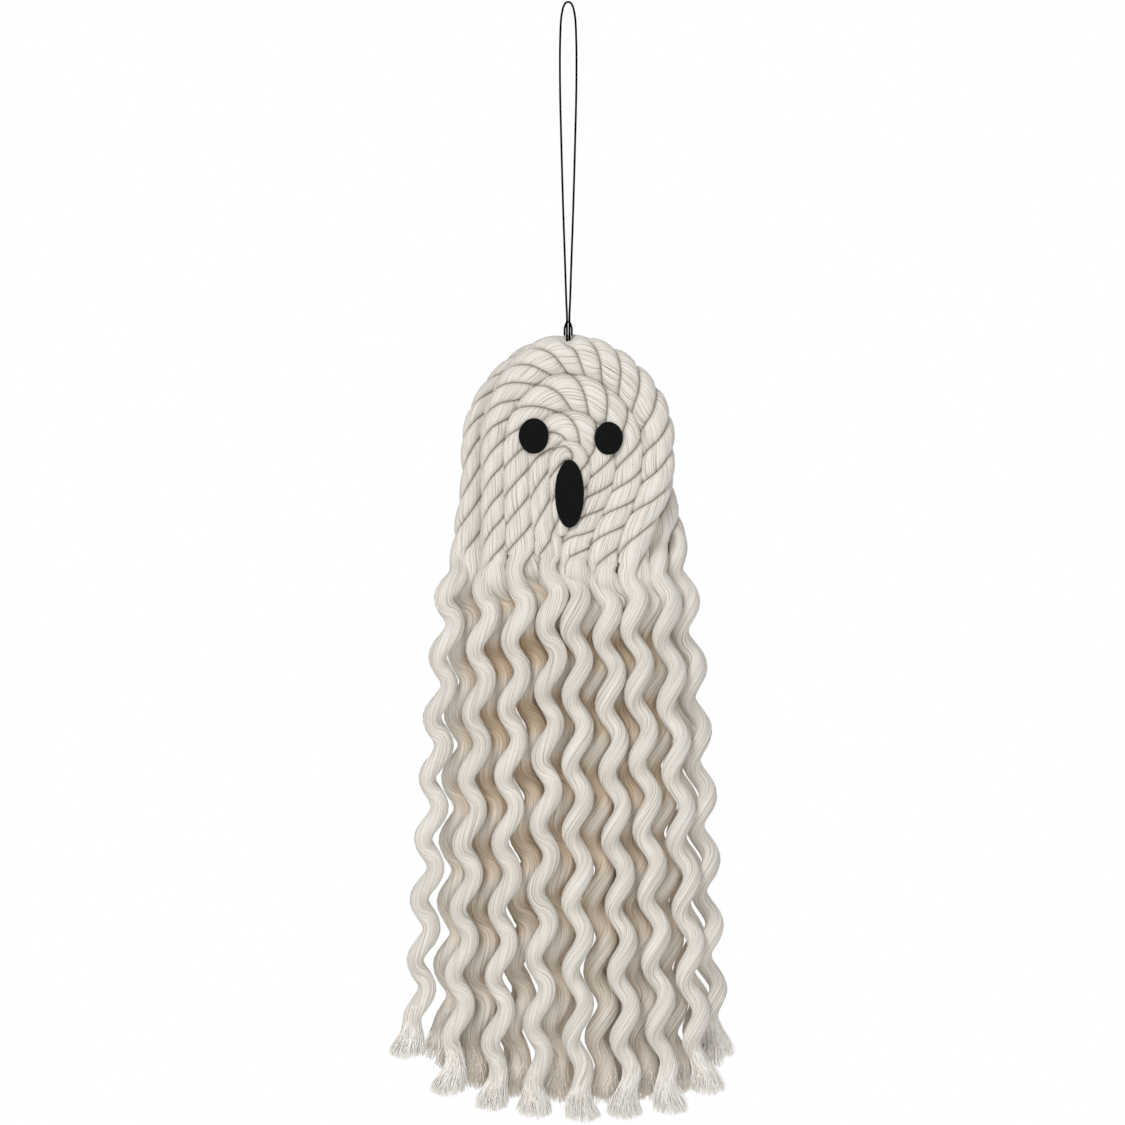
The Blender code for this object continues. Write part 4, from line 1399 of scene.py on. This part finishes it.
def build_floor(scene):
    """A round paper floor under the ghost, whose rim fades into the white around it."""
    mesh = bpy.data.meshes.new("Floor")
    angles = [2 * math.pi * i / FLOOR_SIDES for i in range(FLOOR_SIDES)]
    ring = [(FLOOR_RADIUS * math.cos(a), FLOOR_RADIUS * math.sin(a), FLOOR_Z) for a in angles]
    mesh.from_pydata(ring, [], [list(range(FLOOR_SIDES))])
    floor = bpy.data.objects.new("Floor", mesh)
    scene.collection.objects.link(floor)
    made, tree, shader = new_material("Matt white paper")
    shader.inputs["Base Color"].default_value = srgb(FLOOR_WHITE)
    shader.inputs["Roughness"].default_value = 0.9
    place = add_node(tree, "ShaderNodeTexCoord")
    apart = add_node(tree, "ShaderNodeSeparateXYZ", {"Vector": place.outputs["Object"]})
    level = {"X": apart.outputs["X"], "Y": apart.outputs["Y"]}
    flat = add_node(tree, "ShaderNodeCombineXYZ", level)
    radius = add_node(tree, "ShaderNodeVectorMath", {0: flat.outputs[0]}, operation="LENGTH")
    fade = add_node(
        tree, "ShaderNodeMapRange", {"Value": radius.outputs["Value"]},
        interpolation_type="SMOOTHSTEP", From_Min=FLOOR_FADE[0], From_Max=FLOOR_FADE[1],
    )
    clear = add_node(tree, "ShaderNodeBsdfTransparent")
    sources = {0: fade.outputs[0], 1: shader.outputs[0], 2: clear.outputs[0]}
    both = add_node(tree, "ShaderNodeMixShader", sources)
    tree.links.new(both.outputs[0], tree.nodes["Material Output"].inputs["Surface"])
    mesh.materials.append(made)


def loop_route():
    """The thread's route: from under the rear rope up the right leg of the loop, over the
    top, down the left leg, round the rear rope and through a hitch in front of both legs,
    and back under the rope to where it began."""
    off = THREAD_DIAMETER / 2 + TOUCH_GAP
    rope_top = HEAD_TOP_Z + off
    rope_z = HEAD_TOP_Z - REAR_ROPE["width"] / 2
    leg_x = 0.48 * MM
    side_x = 1.4 * MM

    def on_rope(x, degrees):
        """A point of the thread's way round the rear rope, turned upwards from the back."""
        angle = math.radians(degrees)
        y = REAR_TOP_Y + (ROPE_DEPTH / 2 + off) * math.cos(angle)
        return (x, y, rope_z + (REAR_ROPE["width"] / 2 + off) * math.sin(angle))

    right_leg = [
        on_rope(leg_x, 240),
        on_rope(leg_x, 210),
        on_rope(leg_x, 180),
        (leg_x, 0, rope_top),
        (leg_x, 0, rope_top + 3.5 * MM),
        (leg_x, 0, rope_top + 6.5 * MM),
        (0.75 * MM, 0, -114.3 * MM),
        (1.25 * MM, 0, -99 * MM),
        (1.8 * MM, 0, -83.5 * MM),
        (2.27 * MM, 0, -68 * MM),
        (2.68 * MM, 0, -52.7 * MM),
        (3.06 * MM, 0, -37.3 * MM),
        (3.2 * MM, 0, -22 * MM),
        (3.05 * MM, 0, -12.7 * MM),
        (2.77 * MM, 0, -6.5 * MM),
        (2.17 * MM, 0, -2.7 * MM),
        (1.6 * MM, 0, -0.9 * MM),
        (0.9 * MM, 0, 0.1 * MM),
    ]
    bend = [(0, 0, THREAD_DIAMETER / 2)]
    left_leg = [(-x, y, z) for x, y, z in reversed(right_leg[1:])]
    round_rope = [
        on_rope(-leg_x, 240),
        on_rope(-0.9 * MM, 275),
        on_rope(-side_x, 315),
        on_rope(-side_x, 0),
        on_rope(-side_x, 45),
        on_rope(-side_x, 90),
        on_rope(-side_x, 125),
        (-side_x, 0.8 * MM, rope_top + 0.3 * MM),
        (-side_x, -0.3 * MM, rope_top + 1.1 * MM),
        (-1.2 * MM, -0.85 * MM, rope_top + 2.1 * MM),
    ]
    cross_bar = [
        (-0.85 * MM, -1.0 * MM, rope_top + 3.1 * MM),
        (-0.35 * MM, -1.0 * MM, rope_top + 3.75 * MM),
    ]
    other_side = [(-x, y, z) for x, y, z in reversed(round_rope[1:] + cross_bar)]
    return right_leg + bend + left_leg + round_rope + cross_bar + other_side


def smooth_through(route, samples):
    """A smooth curve through the route's points, with samples points to each stretch."""
    points = [Vector(p) for p in route]
    points = [2 * points[0] - points[1], *points, 2 * points[-1] - points[-2]]
    curve = []
    for before, start, end, after in zip(points, points[1:], points[2:], points[3:]):
        for i in range(samples):
            t = i / samples
            curve.append(
                start
                + (end - before) * t / 2
                + (2 * before - 5 * start + 4 * end - after) * t**2 / 2
                + (3 * (start - end) + after - before) * t**3 / 2
            )
    curve.append(points[-2])
    return curve


LOOP_SAMPLES = 4


def build_loop():
    """The black thread as one free cord that goes back into the ghost."""
    points = smooth_through(loop_route(), LOOP_SAMPLES)
    curve = bpy.data.curves.new("hanging_thread", "CURVE")
    curve.dimensions = "3D"
    curve.bevel_depth = THREAD_DIAMETER / 2
    curve.bevel_resolution = 3
    curve.use_fill_caps = True
    spline = curve.splines.new("POLY")
    spline.points.add(len(points) - 1)
    for place, point in zip(spline.points, points, strict=True):
        place.co = (*point, 1.0)
    piece = link_new(curve)
    dress(piece, "thread", thread_material(), "hanging_loop")


def build_tips(sizes):
    """All brushed tips, one piece for the front strands and one for those behind."""
    random = np.random.default_rng(TIP_SEED)
    groups = {"front_tips": LooseFibres(), "inner_tips": LooseFibres()}
    lines = rope_lines()
    for name in SKIRT_STRANDS:
        for at_start in (True, False):
            for tail in leg_tails(lines[name], at_start).values():
                inner = tail.strand.inner
                count = round(sizes.brush_yarns * (INNER_YARN_SHARE if inner else 1.0))
                paths, widths = brush_yarns(tail, count, sizes, random)
                group = groups["inner_tips" if inner else "front_tips"]
                group.add(paths, widths, random.uniform(0, STREAK_RANGE, count))
    for name, group in groups.items():
        dress(link_new(group.build(name)), "cotton", lit_brushed_material())


def build_fuzz(sizes):
    """Fine fibres on all strands, more on the longer ones."""
    random = np.random.default_rng(FUZZ_SEED)
    fibres = LooseFibres()
    rings = []
    for name, line in rope_lines().items():
        draws = np.random.default_rng(ROPE_SEEDS[name])
        for lobe in range(STRANDS):
            rings.append(strand_rings(line, lobe, sizes.ridge, draws)[0])
    total = sum(len(points) for points in rings)
    for points in rings:
        count = round(sizes.fuzz * len(points) / total)
        paths, widths = surface_fibres(points, count, random)
        fibres.add(paths, widths, random.uniform(0, STREAK_RANGE, count))
    dress(link_new(fibres.build("loose_fibres")), "cotton", cotton_material())


FELT_THICKNESS = 1.0 * MM
FELT_PIECES = (
    ("left_eye", (-13.7 * MM, 39.6 * MM), (11.5 * MM, 13.6 * MM)),
    ("right_eye", (15.0 * MM, 40.5 * MM), (10.9 * MM, 12.7 * MM)),
    ("mouth", (0.0, 61.8 * MM), (11.2 * MM, 26.1 * MM)),
)
FELT_SIDES = 96
FELT_EDGE = 0.3 * MM
# The glued felt sinks this far into the soft rope
FELT_SUNK = 0.8 * MM
# Shares of the way from the middle to the rim at which the felt has a ring of points
FELT_RINGS = (0.25, 0.5, 0.7, 0.85, 0.94)
# Angles of the rings round the felt's soft edge
FELT_EDGE_ANGLES = (0.0, 0.4, 0.8, 1.2, math.pi / 2)
# How uneven the cut outline and the face are, and the waves round the outline
FELT_WOBBLE = 0.03 * MM
FELT_WAVES = (2, 3, 4, 5)
FELT_DIMPLE = 0.012 * MM


def felt_mesh(name, place, size, random):
    """A cut piece of felt: flat, with a soft rounded edge and a slightly uneven outline."""
    shift, drop = place
    centre_x, centre_z = SEAM_X + shift, drop_below_head(drop)
    face_y = FRONT_LAYER_Y - ROPE_DEPTH / 2 - TOUCH_GAP - FELT_THICKNESS
    thickness = FELT_THICKNESS + FELT_SUNK
    angles = np.arange(FELT_SIDES) * 2 * math.pi / FELT_SIDES
    wobble = 0
    for waves in FELT_WAVES:
        height = random.normal(0, FELT_WOBBLE)
        wobble = wobble + height * np.cos(waves * angles + random.uniform(0, 6))
    half = np.array(size) / 2
    directions = np.stack([np.cos(angles), np.sin(angles)], -1)
    outline = directions * (half + wobble[:, None])
    edge_share = FELT_EDGE / half[0]
    inset = 1 - edge_share
    profile = [(share * inset, 0.0) for share in FELT_RINGS]
    for angle in FELT_EDGE_ANGLES:
        drawn_in = edge_share * (1 - math.sin(angle))
        profile.append((1 - drawn_in, FELT_EDGE * (1 - math.cos(angle))))
    profile += [(1.0, thickness - FELT_EDGE), (inset, thickness)]
    rings = []
    for share, depth in profile:
        dimple = random.normal(0, FELT_DIMPLE, FELT_SIDES) if share < 1 else 0.0
        y = np.full(FELT_SIDES, face_y + depth) + dimple
        x, z = (outline * share).T
        rings.append(np.stack([centre_x + x, y, centre_z + z], -1))
    points = np.array(rings)
    front = list(range(FELT_SIDES))
    back = [(len(points) - 1) * FELT_SIDES + i for i in front]
    faces = tube_faces(len(points), FELT_SIDES).tolist() + [front, back]
    mesh = bpy.data.meshes.new(name)
    mesh.from_pydata(points.reshape(-1, 3).tolist(), [], faces)
    mesh.validate()
    return mesh


def build_felt():
    """Both eyes and the mouth, cut from one sheet of felt."""
    random = np.random.default_rng(FELT_SEED)
    finish = felt_material()
    for name, place, size in FELT_PIECES:
        mesh = felt_mesh(name + "_felt", place, size, random)
        orient_outwards(mesh)
        mesh.shade_smooth()
        dress(link_new(mesh), "felt", finish, name)


def orient_outwards(mesh):
    """Turns all faces outwards."""
    work = bmesh.new()
    work.from_mesh(mesh)
    bmesh.ops.recalc_face_normals(work, faces=work.faces)
    work.to_mesh(mesh)
    work.free()


class GHOST_PT_panel(Panel):
    """Lists the steps and their sizes"""

    bl_idname = "GHOST_PT_panel"
    bl_label = "Rope ghost"
    bl_space_type = "VIEW_3D"
    bl_region_type = "UI"
    bl_category = "Ghost"

    def draw(self, context):
        layout = self.layout
        for group in (context.scene.ghost_yarns, context.scene.ghost_colours):
            for name in group.__annotations__:
                layout.prop(group, name)
        for step in STEPS:
            layout.operator(step.bl_idname)


STEPS = (
    GHOST_OT_stage,
    GHOST_OT_hanging_loop,
    GHOST_OT_face_ropes,
    GHOST_OT_rear_rope,
    GHOST_OT_brushed_tips,
    GHOST_OT_loose_fibres,
    GHOST_OT_felt_face,
)
CLASSES = (GhostYarnSizes, GhostColours, *STEPS, GHOST_PT_panel)


def register():
    for cls in CLASSES:
        bpy.utils.register_class(cls)
    bpy.types.Scene.ghost_yarns = PointerProperty(type=GhostYarnSizes)
    bpy.types.Scene.ghost_colours = PointerProperty(type=GhostColours)


def unregister():
    del bpy.types.Scene.ghost_colours
    del bpy.types.Scene.ghost_yarns
    for cls in reversed(CLASSES):
        bpy.utils.unregister_class(cls)


def main():
    register()
    for old in list(bpy.data.objects):
        if old.type in {"LIGHT", "CAMERA"}:
            bpy.data.objects.remove(old)
    bpy.ops.ghost.stage()
    bpy.ops.ghost.hanging_loop()
    bpy.ops.ghost.face_ropes()
    bpy.ops.ghost.rear_rope()
    bpy.ops.ghost.brushed_tips()
    bpy.ops.ghost.loose_fibres()
    bpy.ops.ghost.felt_face()


if __name__ == "__main__":
    main()
